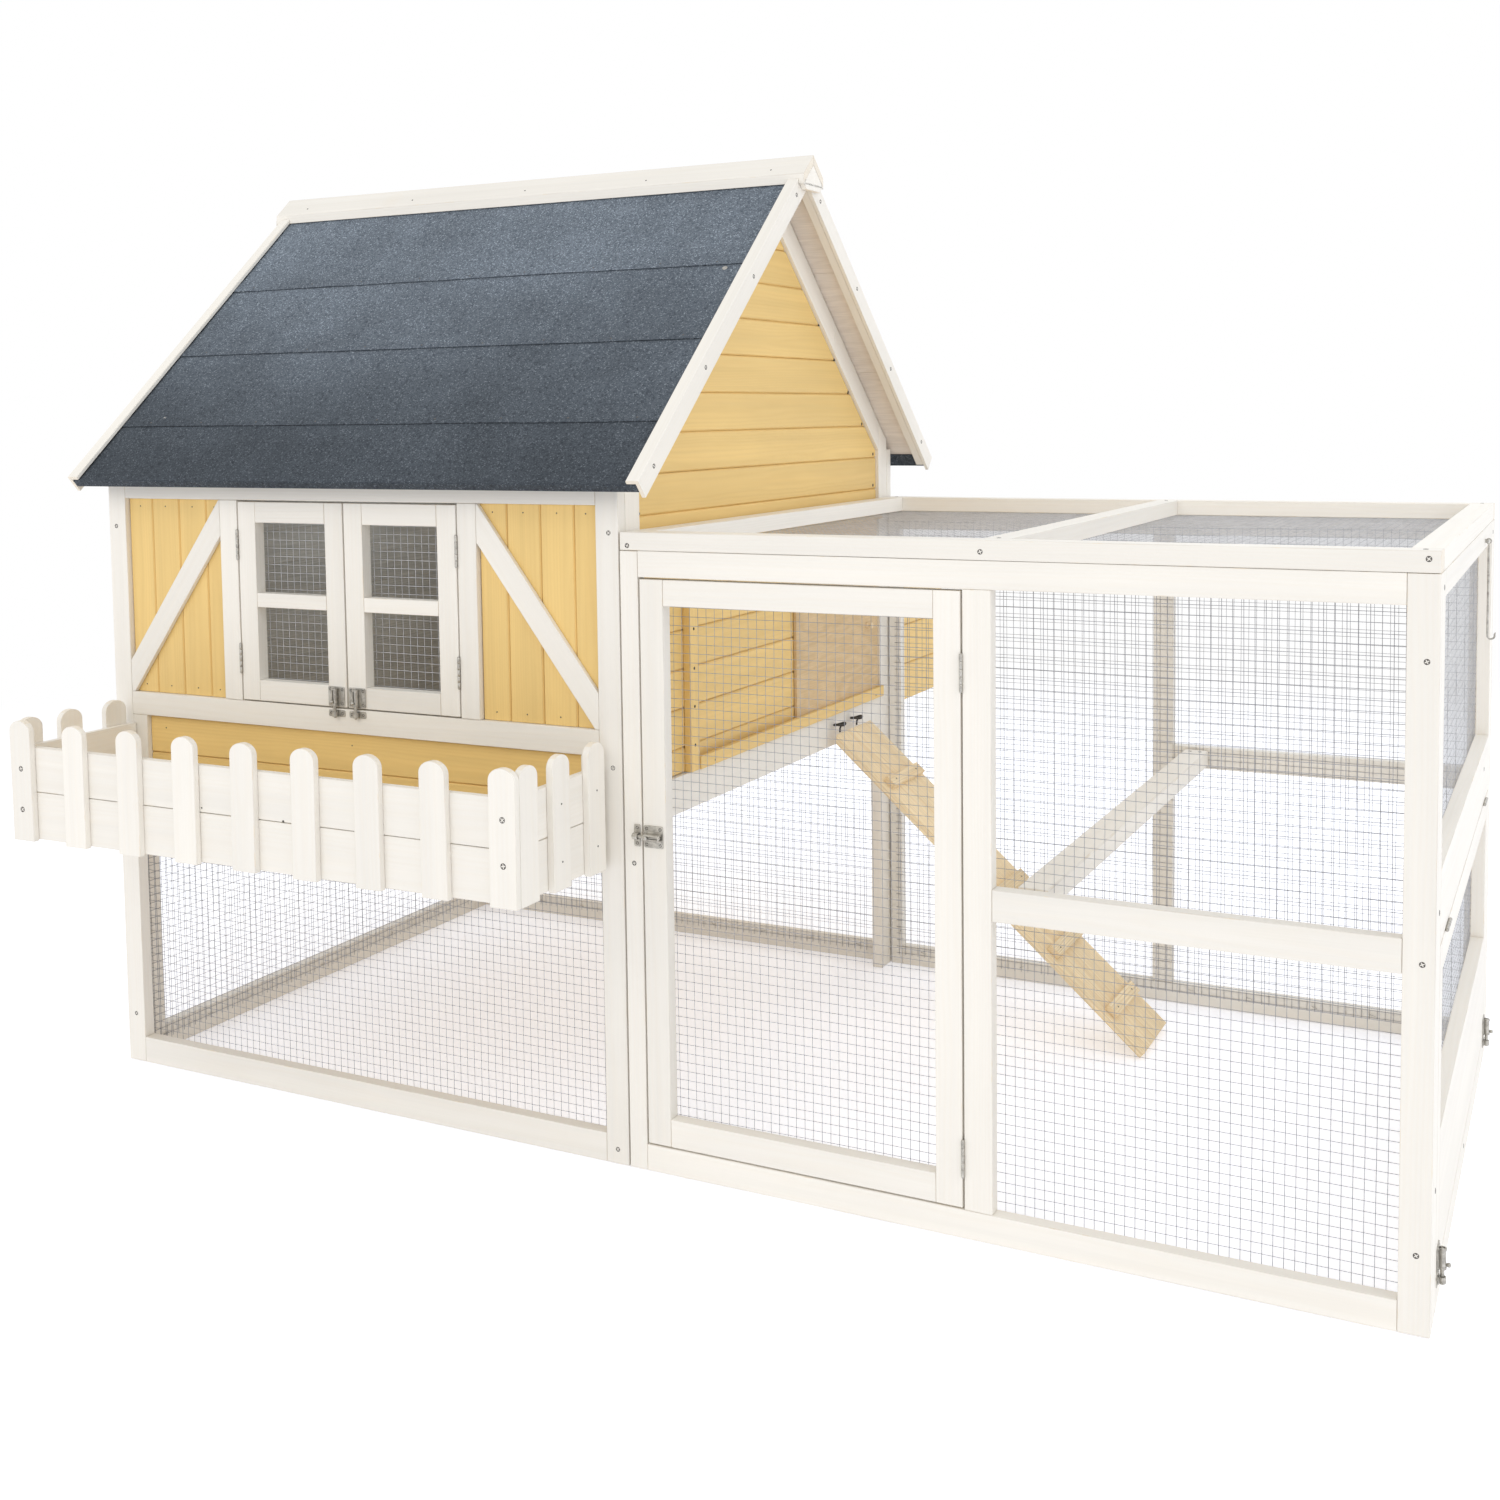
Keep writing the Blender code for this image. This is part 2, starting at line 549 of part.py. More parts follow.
finish("run_front_frame",
       frame("xz", (RUN_START, 0.990, DOOR_JAMB_X, 1.4936, 1.9747, LENGTH),
             (0, 0.0376, 0.416, 0.457, 0.833, PANEL_H), FRONT_LAYER,
             posts=(0, 2, 4), rails=(0, 4), extra=((3, 2),)), "cream_paint")
finish("run_rear_frame",
       frame("xz", (RUN_START, 0.9855, 1.463, 1.498, 1.975, LENGTH),
             (0, 0.036, 0.425, 0.462, 0.834, PANEL_H), REAR_LAYER,
             posts=(0, 2, 4), rails=(0, 4), extra=((3, 2),)), "cream_paint")
finish("run_end_frame",
       frame("yz", (BETWEEN_Y[0], 0.060, DEPTH - 0.060, BETWEEN_Y[1]),
             (0, 0.0376, FLAP_RAIL_Z, 0.525, 0.838, PANEL_H), END_LAYER, rails=(0, 2, 4)),
       "cream_paint")
finish("run_roof_frame",
       frame("xy", (RUN_START, 0.9975, 1.4725, 1.5075, 1.975, LENGTH),
             (0, 0.035, DEPTH - 0.035, DEPTH), (RUN_ROOF_BASE, RUN_ROOF_BASE + RUN_ROOF_T),
             posts=(0, 2, 4)), "cream_paint")

# perch bar between the two middle rails
finish("run_perch",
       box((1.520, 1.560), inset((0.0, DEPTH), TIMBER + 0.0022), (0.4310, 0.4580)),
       "cream_paint")

# ------------------------------------------------------------ netting, as thin sheets
SHEET_STOP_X = LENGTH - TIMBER - 0.0016
ROOF_SHEET_INSET = TIMBER + 0.0022
NETTING = (             # name, x span, y span, z span
    ("run_front_mesh", (1.4760, SHEET_STOP_X), SHEET_FRONT_Y, (0.020, 0.851)),
    ("run_rear_mesh", (0.9740, SHEET_STOP_X), SHEET_REAR_Y, (0.018, 0.851)),
    ("run_end_mesh", SHEET_END_X, inset((0.0, DEPTH), 0.042), (0.507, 0.855)),
    ("run_roof_mesh", (0.9800, LENGTH - ROOF_SHEET_INSET),
     inset((0.0, DEPTH), ROOF_SHEET_INSET), (PANEL_H - GAP - WIRE, PANEL_H - GAP)),
)
for name, x_span, y_span, z_span in NETTING:
    finish(name, box(x_span, y_span, z_span), "wire_mesh")

# one strip wraps the front, left and rear sides below the hen house
finish("house_base_mesh",
       lattice((TIMBER + GAP, TIMBER + GAP + WIRE, HOUSE_W - TIMBER - 2 * GAP),
               (*SHEET_FRONT_Y, *SHEET_REAR_Y), (0.018, 0.438),
               lambda i, j, k: i == 0 or j in (0, 2)), "wire_mesh")

# ------------------------------------------------------------ run door
DOOR_X = (0.9925, 1.4538)
DOOR_Z = (0.0400, 0.8305)
DOOR_STILE = 0.036
DOOR_AXIS = ((DOOR_X[1] + DOOR_JAMB_X) / 2, -HINGE_OUT, middle(DOOR_Z))
finish("run_door",
       frame("xz", (DOOR_X[0], DOOR_X[0] + DOOR_STILE, DOOR_X[1] - DOOR_STILE, DOOR_X[1]),
             (DOOR_Z[0], DOOR_Z[0] + 0.039, DOOR_Z[1] - 0.036, DOOR_Z[1]), FRONT_LAYER),
       "cream_paint", origin=DOOR_AXIS)
finish("run_door_mesh",
       box(inset(DOOR_X, 0.020), SHEET_FRONT_Y, (DOOR_Z[0] + 0.022, DOOR_Z[1] - 0.020)),
       "wire_mesh", origin=DOOR_AXIS)

# ------------------------------------------------------------ window doors
WINDOW_W = 0.2050
WINDOW_Z = (0.6190, 0.9280)
WINDOW_STILE = 0.034
LEFT_WINDOW_X = (0.2745, 0.2745 + WINDOW_W)
RIGHT_WINDOW_X = (0.4825, 0.4825 + WINDOW_W)


def window(side_name, x_span, hinge_x):
    axis = (hinge_x, -HINGE_OUT, middle(WINDOW_Z))
    finish("window_door_" + side_name,
           frame("xz", (x_span[0], *inset(x_span, WINDOW_STILE), x_span[1]),
                 (WINDOW_Z[0], 0.651, 0.765, 0.787, 0.8960, WINDOW_Z[1]), FRONT_LAYER,
                 rails=(0, 2, 4)), "cream_paint", origin=axis)
    finish("window_mesh_" + side_name,
           box(inset(x_span, 0.018), SHEET_FRONT_Y, inset(WINDOW_Z, 0.016)),
           "wire_mesh", origin=axis)


# each turns about the middle of the gap at its outer edge
window("left", LEFT_WINDOW_X, (WINDOW_OPENING_X[0] + LEFT_WINDOW_X[0]) / 2)
window("right", RIGHT_WINDOW_X, (WINDOW_OPENING_X[1] + RIGHT_WINDOW_X[1]) / 2)

# ------------------------------------------------------------ end flap
FLAP_Y = inset((0.0, DEPTH), 0.0625)
FLAP_Z = (0.0400, 0.4350)
FLAP_AXIS = (LENGTH + HINGE_OUT, DEPTH / 2, (FLAP_Z[1] + FLAP_RAIL_Z) / 2)
finish("end_flap",
       frame("yz", (FLAP_Y[0], *inset(FLAP_Y, 0.036), FLAP_Y[1]),
             (FLAP_Z[0], 0.205, 0.397, FLAP_Z[1]), END_LAYER),
       "cream_paint", origin=FLAP_AXIS)
finish("end_flap_mesh", box(SHEET_END_X, inset((0.0, DEPTH), 0.080), (0.188, 0.416)),
       "wire_mesh", origin=FLAP_AXIS)

# ------------------------------------------------------------ barrel bolts
# Local cuts of a bolt: along runs into the leaf from its closing edge, across lies in the
# face, out points out of the face.
PLATE_ALONG = (0.0015, 0.0065, 0.0265, 0.0315)
PLATE_ACROSS = (-0.0155, -0.0050, -0.0027, 0.0027, 0.0050, 0.0155)
PLATE_OUT = (0.0004, 0.0016, 0.0028, 0.0082, 0.0096)
ROD_ALONG = (-0.0156, 0.0082, 0.0112, 0.0290)
ROD_ACROSS = (-0.0023, 0.0023)
ROD_OUT = (0.0032, 0.0078, BOLT_KNOB_OUT)
ROD_CENTRE_OUT = (ROD_OUT[0] + ROD_OUT[1]) / 2


def plate_cell(i, j, k):
    """Base plate, and a guide at each end with a hole for the rod."""
    return k == 0 or (i != 1 and j in (1, 2, 3) and (j, k) != (2, 2))


def bolt_set(name, corner, along, across, out):
    """A plate with two guides on the door leaf and a rod that slides through them.

    The corner lies on the face at the closing edge. The rod is modelled shot, reaching
    past that edge.
    """
    turn = Matrix((along, across, out)).transposed()
    plate = lattice(PLATE_ALONG, PLATE_ACROSS, PLATE_OUT, plate_cell)
    rod = lattice(ROD_ALONG, ROD_ACROSS, ROD_OUT, lambda i, j, k: k == 0 or i == 1)
    for body in (plate, rod):
        for vertex in body.verts:
            vertex.co = Vector(corner) + turn @ vertex.co
    finish(name + "_plate", plate, "zinc")
    finish(name, rod, "zinc", origin=Vector(corner) + Vector(out) * ROD_CENTRE_OUT)


AXIS_X, AXIS_Y, AXIS_Z = (1, 0, 0), (0, 1, 0), (0, 0, 1)
TO_FRONT = (0, -1, 0)
bolt_set("run_door_bolt", (DOOR_X[0], 0.0, 0.4750), AXIS_X, AXIS_Z, TO_FRONT)
for side_name, x in (("left", 0.4605), ("right", 0.5000)):
    bolt_set("window_bolt_" + side_name, (x, 0.0, WINDOW_Z[0]), AXIS_Z, AXIS_X, TO_FRONT)
for end_name, y in (("front", 0.0850), ("rear", DEPTH - 0.0850)):
    bolt_set("flap_bolt_" + end_name, (LENGTH, y, FLAP_Z[0]), AXIS_Z, AXIS_Y, AXIS_X)

# ------------------------------------------------------------ hinges
KNUCKLE_R = 0.0021
HINGE_HALF = 0.024      # half the length of a hinge
LEAF_IN = 0.0180        # the fixed leaf reaches this far behind the face
LEAF_OUT = 0.0021       # and this far in front of it
LEAF_OFFSET = (0.0004, 0.0010)          # faces of the leaf, from the pin axis


def pin_hinge(name, centre, pin_axis, leaf):
    """Knuckle of a butt hinge with the fixed leaf that is let in beside the opening."""
    reach = Vector(pin_axis) * HINGE_HALF
    knuckle = cylinder(Vector(centre) - reach, Vector(centre) + reach, KNUCKLE_R)
    finish(name, combine(knuckle, [leaf], "UNION"), "zinc", smooth=True)


for level_name, z in (("upper", 0.7280), ("lower", 0.1050)):
    pin_hinge("run_door_hinge_" + level_name, (DOOR_AXIS[0], -HINGE_OUT, z), AXIS_Z,
              box([DOOR_AXIS[0] + offset for offset in LEAF_OFFSET], (-LEAF_OUT, LEAF_IN),
                  around(z, HINGE_HALF)))
for end_name, y in (("front", 0.1500), ("rear", 0.8500)):
    pin_hinge("flap_hinge_" + end_name, (FLAP_AXIS[0], y, FLAP_AXIS[2]), AXIS_Y,
              box((LENGTH - LEAF_IN, LENGTH + LEAF_OUT), around(y, HINGE_HALF),
                  [FLAP_AXIS[2] + offset for offset in LEAF_OFFSET]))

# ------------------------------------------------------------ ramp with cleats
RAMP_TOP = Vector((0.9860, 0.0, 0.4880))
RAMP_LENGTH = 0.7157
RAMP_Y = (0.6900, 0.8440)
RAMP_T = 0.0130
RAMP_ANGLE = math.radians(41.75)
CLEAT_COUNT = 5
CLEAT_START, CLEAT_PITCH, CLEAT_W = 0.105, 0.130, 0.022     # along the ramp
CLEAT_H = 0.0110
RAMP_DOWN = Vector((math.cos(RAMP_ANGLE), 0, -math.sin(RAMP_ANGLE)))
RAMP_NORMAL = Vector((math.sin(RAMP_ANGLE), 0, math.cos(RAMP_ANGLE)))


def ramp_box(along_span, y_span, normal_span):
    body = box(along_span, y_span, normal_span)
    for vertex in body.verts:
        along, y, height = vertex.co
        point = RAMP_TOP + RAMP_DOWN * along + RAMP_NORMAL * height
        vertex.co = Vector((point.x, y, point.z))
    return body


cleats = []
for n in range(CLEAT_COUNT):
    start = CLEAT_START + n * CLEAT_PITCH
    cleats.append(ramp_box((start, start + CLEAT_W), inset(RAMP_Y, 0.008), (-BITE, CLEAT_H)))
finish("ramp", combine(ramp_box((0.0, RAMP_LENGTH), RAMP_Y, (-RAMP_T, 0.0)), cleats, "UNION"),
       "pine", origin=(0.9760, middle(RAMP_Y), 0.4920))

# ------------------------------------------------------------ hook that holds the flap up
HOOK_Y, HOOK_Z = 0.7600, 0.8500
HOOK_X = (LENGTH + 0.0040, LENGTH + 0.0064)             # upright bar of the hook
HOOK_FOOT_Z = (HOOK_Z - 0.1560, HOOK_Z - 0.1536)        # foot turned out at its lower end
finish("flap_hook",
       lattice((*HOOK_X, LENGTH + 0.0130), around(HOOK_Y, 0.0012),
               (*HOOK_FOOT_Z, HOOK_Z + 0.0030), lambda i, j, k: i == 0 or k == 0),
       "zinc", origin=(middle(HOOK_X), HOOK_Y, HOOK_Z))
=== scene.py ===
"""Looks of a timber chicken coop with a wire run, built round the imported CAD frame.

Layout coordinates (metres) start at the front left ground corner of the house:
+X along the front from house to run, +Y to the back, +Z up. ORIGIN moves them into the frame.
"""
import math
import random
from contextlib import contextmanager
from types import SimpleNamespace

import bmesh
import bpy
from mathutils import Matrix, Vector, noise


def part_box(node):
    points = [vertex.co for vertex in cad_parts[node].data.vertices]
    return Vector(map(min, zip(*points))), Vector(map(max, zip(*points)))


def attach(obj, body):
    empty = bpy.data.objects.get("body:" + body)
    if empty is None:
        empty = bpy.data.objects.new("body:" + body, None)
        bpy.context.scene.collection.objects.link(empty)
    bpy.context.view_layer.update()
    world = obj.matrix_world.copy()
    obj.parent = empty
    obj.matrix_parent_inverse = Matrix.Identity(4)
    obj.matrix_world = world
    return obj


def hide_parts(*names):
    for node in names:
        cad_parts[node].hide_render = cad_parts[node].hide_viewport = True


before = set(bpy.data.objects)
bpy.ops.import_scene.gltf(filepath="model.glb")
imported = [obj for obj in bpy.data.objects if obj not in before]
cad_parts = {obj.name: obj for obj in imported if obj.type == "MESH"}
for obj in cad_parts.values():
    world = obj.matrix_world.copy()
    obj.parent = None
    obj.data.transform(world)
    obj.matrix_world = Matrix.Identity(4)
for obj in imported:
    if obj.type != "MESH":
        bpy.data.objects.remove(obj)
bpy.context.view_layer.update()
ORIGIN = Vector(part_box("house_front_frame")[0])
rnd = random.Random(41)

# ------------------------------------------------------------------ driving dimensions
X, Y, Z = Vector((1, 0, 0)), Vector((0, 1, 0)), Vector((0, 0, 1))
AXES = {"x": X, "y": Y, "z": Z}
HOUSE_W, LENGTH, DEPTH = 0.960, 2.010, 1.000    # house alone, house and run, front to back
RUN_H = 0.869
THICK = 0.020           # frame timbers, square to their panel
POST = 0.036            # width of the house corner posts
GAP = 0.0004            # clearance between neighbouring parts
HAIR = 0.0002           # hairline at a butt joint
JOINT = 0.00025         # hairline at each end of a planed stick
MESH_IN = THICK + GAP + 0.0012 / 2      # middle of the netting, in from the outer face

# Roof. A "drop" is measured square down from the line of the barge tops.
RIDGE_Z, ROOF_TAN, EAVE = 1.4556, 0.8850, 0.0525
ROOF_COS, ROOF_SIN = math.cos(math.atan(ROOF_TAN)), math.sin(math.atan(ROOF_TAN))
MID_Y = DEPTH / 2
HALF_SPAN = MID_Y + EAVE
SLOPE = HALF_SPAN / ROOF_COS
ROOF_X0, ROOF_X1 = -0.0330, 1.0240
BARGE_T, BARGE_LIP, BARGE_DROP = 0.0060, 0.0200, 0.0310
FELT_X0, FELT_X1 = ROOF_X0 + BARGE_T + GAP, ROOF_X1 - BARGE_T - GAP
FELT_DROP, ROOF_T = 0.0065, 0.0145
UNDERSIDE = FELT_DROP + ROOF_T
SIDE_DROP = UNDERSIDE + 0.0008 + 0.0002         # top of the side walls
TRIM = 0.040                                    # sloping trim of the side walls


def roof_line(y, drop):
    return RIDGE_Z - ROOF_TAN * abs(y - MID_Y) - drop / ROOF_COS


def slope_dir(side):
    """Along the roof from front to back; side is -1 for the front slope, 1 for the rear."""
    return Vector((0, ROOF_COS, -side * ROOF_SIN))


def slope_normal(side):
    return Vector((0, side * ROOF_SIN, ROOF_COS))


POST_TOP = roof_line(0.0, UNDERSIDE + 0.0008) - 0.0004
SLOPES = (("front", -1), ("rear", 1))


# ------------------------------------------------------------------ material kit
class Shader:
    """A material's node tree with short methods for the nodes used here."""

    def __init__(self, name):
        self.material = bpy.data.materials.new(name)
        self.material.use_nodes = True
        self.tree = self.material.node_tree
        self.tree.nodes.clear()
        self.output = self.node("ShaderNodeOutputMaterial")
        self.surface = self.node("ShaderNodeBsdfPrincipled")
        self.link(self.surface.outputs[0], self.output.inputs[0])

    def node(self, kind, **props):
        node = self.tree.nodes.new(kind)
        for key, value in props.items():
            setattr(node, key, value)
        return node

    def link(self, source, target):
        self.tree.links.new(source, target)

    def put(self, socket, value):
        if isinstance(value, bpy.types.NodeSocket):
            self.link(value, socket)
        elif isinstance(value, tuple) and socket.type == "RGBA":
            socket.default_value = (*value, 1.0)
        else:
            socket.default_value = value

    def grain(self):
        """The coordinate stored on each piece, x along its grain."""
        return self.node("ShaderNodeAttribute", attribute_name="gco").outputs["Vector"]

    def attr(self, name):
        return self.node("ShaderNodeAttribute", attribute_name=name).outputs["Fac"]

    def math(self, operation, *values, clamp=False):
        node = self.node("ShaderNodeMath", operation=operation, use_clamp=clamp)
        for socket, value in zip(node.inputs, values):
            self.put(socket, value)
        return node.outputs[0]

    def chain(self, operation, first, *rest):
        for value in rest:
            first = self.math(operation, first, value)
        return first

    def times(self, *values):
        return self.chain("MULTIPLY", *values)

    def plus(self, *values):
        return self.chain("ADD", *values)

    def wave(self, value, rate):
        """Sine of value * rate, brought into 0..1."""
        return self.math("MULTIPLY_ADD", self.math("SINE", self.times(value, rate)), 0.5, 0.5)

    def scaled(self, vector, factors):
        node = self.node("ShaderNodeVectorMath", operation="MULTIPLY")
        self.put(node.inputs[0], vector)
        self.put(node.inputs[1], factors)
        return node.outputs[0]

    def length(self, vector):
        node = self.node("ShaderNodeVectorMath", operation="LENGTH")
        self.put(node.inputs[0], vector)
        return node.outputs["Value"]

    def z_of(self, vector):
        node = self.node("ShaderNodeSeparateXYZ")
        self.link(vector, node.inputs[0])
        return node.outputs[2]

    def noise(self, vector, stretch=None, scale=1.0, detail=3.0, rough=0.5, distortion=0.0):
        if stretch:
            vector = self.scaled(vector, stretch)
        node = self.node("ShaderNodeTexNoise")
        for key, value in (("Vector", vector), ("Scale", scale), ("Detail", detail),
                           ("Roughness", rough), ("Distortion", distortion)):
            self.put(node.inputs[key], value)
        return node.outputs[0]

    def cells(self, vector, scale=1.0):
        """Voronoi cells: distance to the centre and two random values per cell."""
        node = self.node("ShaderNodeTexVoronoi")
        self.put(node.inputs["Vector"], vector)
        self.put(node.inputs["Scale"], scale)
        parts = self.node("ShaderNodeSeparateColor")
        self.link(node.outputs["Color"], parts.inputs[0])
        return node.outputs["Distance"], parts.outputs[0], parts.outputs[1]

    def ramp(self, value, span, to=(0.0, 1.0), kind="LINEAR"):
        """Map the span of a value to another range, in a straight line."""
        node = self.node("ShaderNodeMapRange", interpolation_type=kind)
        self.put(node.inputs["Value"], value)
        for key, number in zip(("From Min", "From Max", "To Min", "To Max"), (*span, *to)):
            node.inputs[key].default_value = number
        return node.outputs[0]

    def fade(self, value, span, to=(0.0, 1.0)):
        """The same with a soft start and end."""
        return self.ramp(value, span, to, "SMOOTHSTEP")

    def mix(self, amount, base, top, mode="MIX"):
        node = self.node("ShaderNodeMix", data_type="RGBA", blend_type=mode)
        for index, value in ((0, amount), (6, base), (7, top)):
            self.put(node.inputs[index], value)
        return node.outputs[2]

    def shade(self, colour, factor):
        """Multiply a colour by a scalar field."""
        node = self.node("ShaderNodeCombineXYZ")
        for socket in node.inputs:
            self.put(socket, factor)
        return self.mix(1.0, colour, node.outputs[0], "MULTIPLY")

    def bump(self, height, distance, strength):
        node = self.node("ShaderNodeBump")
        for key, value in (("Strength", strength), ("Distance", distance), ("Height", height)):
            self.put(node.inputs[key], value)
        return node.outputs[0]

    def finish(self, colour, rough, normal, metal=0.0, spec=None):
        inputs = self.surface.inputs
        self.put(inputs["Base Color"], colour)
        self.put(inputs["Roughness"], rough)
        self.put(inputs["Metallic"], metal)
        if spec is not None:
            self.put(inputs["Specular IOR Level"], spec)
        self.link(normal, inputs["Normal"])
        return self.material


def wood_fields(mat):
    """Growth rings, fibres and knots. Stretches are (along, across, across) the grain."""
    grain = mat.grain()
    across = mat.scaled(grain, (0.0, 1.0, 1.0))
    slow = mat.noise(grain, stretch=(1.5, 10.0, 10.0), rough=0.55)
    distance, chance, spread = mat.cells(mat.scaled(grain, (6.5, 6.5, 0.55)))
    present = mat.math("GREATER_THAN", chance, 0.56)        # share of cells without a knot
    size = mat.math("MULTIPLY_ADD", spread, 0.030, 0.020)   # range and least knot radius

    def within(reach):
        falloff = mat.math("SUBTRACT", 1.0, mat.math("DIVIDE", distance, reach), clamp=True)
        return mat.times(falloff, present)

    core = mat.fade(within(size), span=(0.0, 0.35))
    halo = within(mat.times(size, 3.6))
    # rings per metre from the pith, bent by the slow noise and round the knots
    phase = mat.plus(mat.times(mat.length(across), 250.0), mat.times(slow, 6.0),
                     mat.times(halo, 2.6))
    return SimpleNamespace(
        grain=grain, core=core, halo=halo,
        ring=mat.math("POWER", mat.wave(phase, rate=6.2832), 1.8),
        fibre=mat.noise(grain, stretch=(16.0, 760.0, 760.0), detail=2.0, rough=0.6),
        streak=mat.noise(grain, stretch=(1.1, 42.0, 42.0), rough=0.6),
        blotch=mat.noise(grain, stretch=(3.4, 7.0, 7.0), detail=2.0))


def painted(name, base, under, knot, knot_amount, ring_amount, dirt_and_shade, rough, wear, streak):
    """Brushed paint on softwood: grain shows through, arrises are rubbed thin."""
    mat = Shader(name)
    wood = wood_fields(mat)
    brush = mat.noise(wood.grain, stretch=(5.0, 420.0, 420.0), rough=0.65)
    value = mat.times(
        mat.ramp(wood.streak, span=(0.25, 0.75), to=(1.0 - streak, 1.0 + streak * 0.6)),
        mat.ramp(wood.blotch, span=(0.3, 0.7), to=(1.0 - streak * 0.8, 1.0)),
        mat.ramp(brush, span=(0.2, 0.8), to=(0.985, 1.01)),
        mat.ramp(mat.attr("tint"), span=(0.0, 1.0), to=(0.955, 1.02)))
    colour = mat.shade(base, value)
    colour = mat.mix(mat.times(wood.ring, ring_amount), colour, under)
    colour = mat.mix(mat.times(wood.halo, knot_amount * 0.45), colour, under)
    colour = mat.mix(mat.times(wood.core, knot_amount), colour, knot)
    edge = mat.attr("edge")
    rub = mat.noise(wood.grain, stretch=(26.0, 90.0, 90.0), detail=4.0, rough=0.7)
    bare = mat.times(edge, mat.fade(rub, span=(0.55, 0.66), to=(0.0, wear)))
    # darker along the bevelled arrises: partly dirt, partly painted shade
    dirt_and_shade_noise = mat.noise(wood.grain, stretch=(8.0, 30.0, 30.0))
    edge_dirt_and_shade = mat.times(edge, mat.fade(dirt_and_shade_noise, span=(0.35, 0.7), to=(0.0, 0.30)))
    colour = mat.mix(edge_dirt_and_shade, colour, dirt_and_shade)
    colour = mat.mix(bare, colour, under)
    colour = mat.mix(mat.times(mat.attr("endg"), 0.35), colour, under)
    # relief: raised rings, fibres and brush marks, sunken knots
    height = mat.plus(mat.times(wood.ring, 0.35), mat.times(wood.fibre, 0.35),
                      mat.times(brush, 0.55))
    height = mat.math("SUBTRACT", height, mat.times(wood.core, 0.5))
    normal = mat.bump(height, distance=0.0005, strength=0.42)
    gloss = mat.ramp(brush, span=(0.2, 0.8), to=(rough - 0.07, rough + 0.10))
    return mat.finish(colour, mat.plus(gloss, mat.times(bare, 0.3)), normal, spec=0.42)


def bare_wood(name, light, dark, knot, ring_amount):
    """Sawn and sanded softwood without any finish."""
    mat = Shader(name)
    wood = wood_fields(mat)
    colour = mat.mix(mat.times(wood.ring, ring_amount), light, dark)
    colour = mat.mix(mat.fade(wood.streak, span=(0.35, 0.75), to=(0.0, 0.35)), colour, dark)
    value = mat.times(mat.ramp(wood.fibre, span=(0.25, 0.75), to=(0.75, 1.125)),
                      mat.ramp(wood.blotch, span=(0.3, 0.7), to=(0.90, 1.04)),
                      mat.ramp(mat.attr("tint"), span=(0.0, 1.0), to=(0.92, 1.05)))
    colour = mat.shade(colour, value)
    colour = mat.mix(mat.times(wood.halo, 0.45), colour, dark)
    colour = mat.mix(mat.times(wood.core, 0.85), colour, knot)
    colour = mat.mix(mat.times(mat.attr("endg"), 0.4), colour, dark)
    # darker along the bevelled arrises: painted shade
    colour = mat.mix(mat.times(mat.attr("edge"), 0.18), colour, dark)
    # relief: rings and stronger fibres
    height = mat.plus(mat.times(wood.ring, 0.4), mat.times(wood.fibre, 0.8))
    normal = mat.bump(height, distance=0.0006, strength=0.55)
    rough = mat.ramp(wood.fibre, span=(0.2, 0.8), to=(0.62, 0.82))
    return mat.finish(colour, rough, normal, spec=0.3)


def plywood(name, light, dark):
    """Rotary-cut veneer: broad flowing figure, fine pores, plies showing on the edges."""
    mat = Shader(name)
    grain = mat.grain()
    slow = mat.noise(grain, stretch=(2.2, 9.0, 9.0), detail=4.0, rough=0.55, distortion=0.4)
    figure = mat.wave(slow, rate=78.0)
    pore = mat.noise(grain, stretch=(24.0, 620.0, 620.0), detail=2.0, rough=0.6)
    cloud = mat.noise(grain, scale=7.0)
    colour = mat.mix(mat.times(figure, 0.42), light, dark)
    colour = mat.shade(colour, mat.times(mat.ramp(pore, span=(0.25, 0.75), to=(0.88, 1.05)),
                                         mat.ramp(cloud, span=(0.3, 0.7), to=(0.92, 1.04))))
    # plies per metre of thickness, every other half of one dark
    plies = mat.math("FRACT", mat.times(mat.z_of(grain), 380.0))
    layer = mat.math("GREATER_THAN", plies, 0.5)
    cut = mat.math("MAXIMUM", mat.attr("endg"), mat.attr("edge"))
    colour = mat.mix(mat.times(layer, cut, 0.55), colour, dark)
    normal = mat.bump(mat.plus(pore, mat.times(figure, 0.3)), distance=0.0005, strength=0.4)
    rough = mat.ramp(pore, span=(0.2, 0.8), to=(0.61, 0.78))
    return mat.finish(colour, rough, normal, spec=0.3)


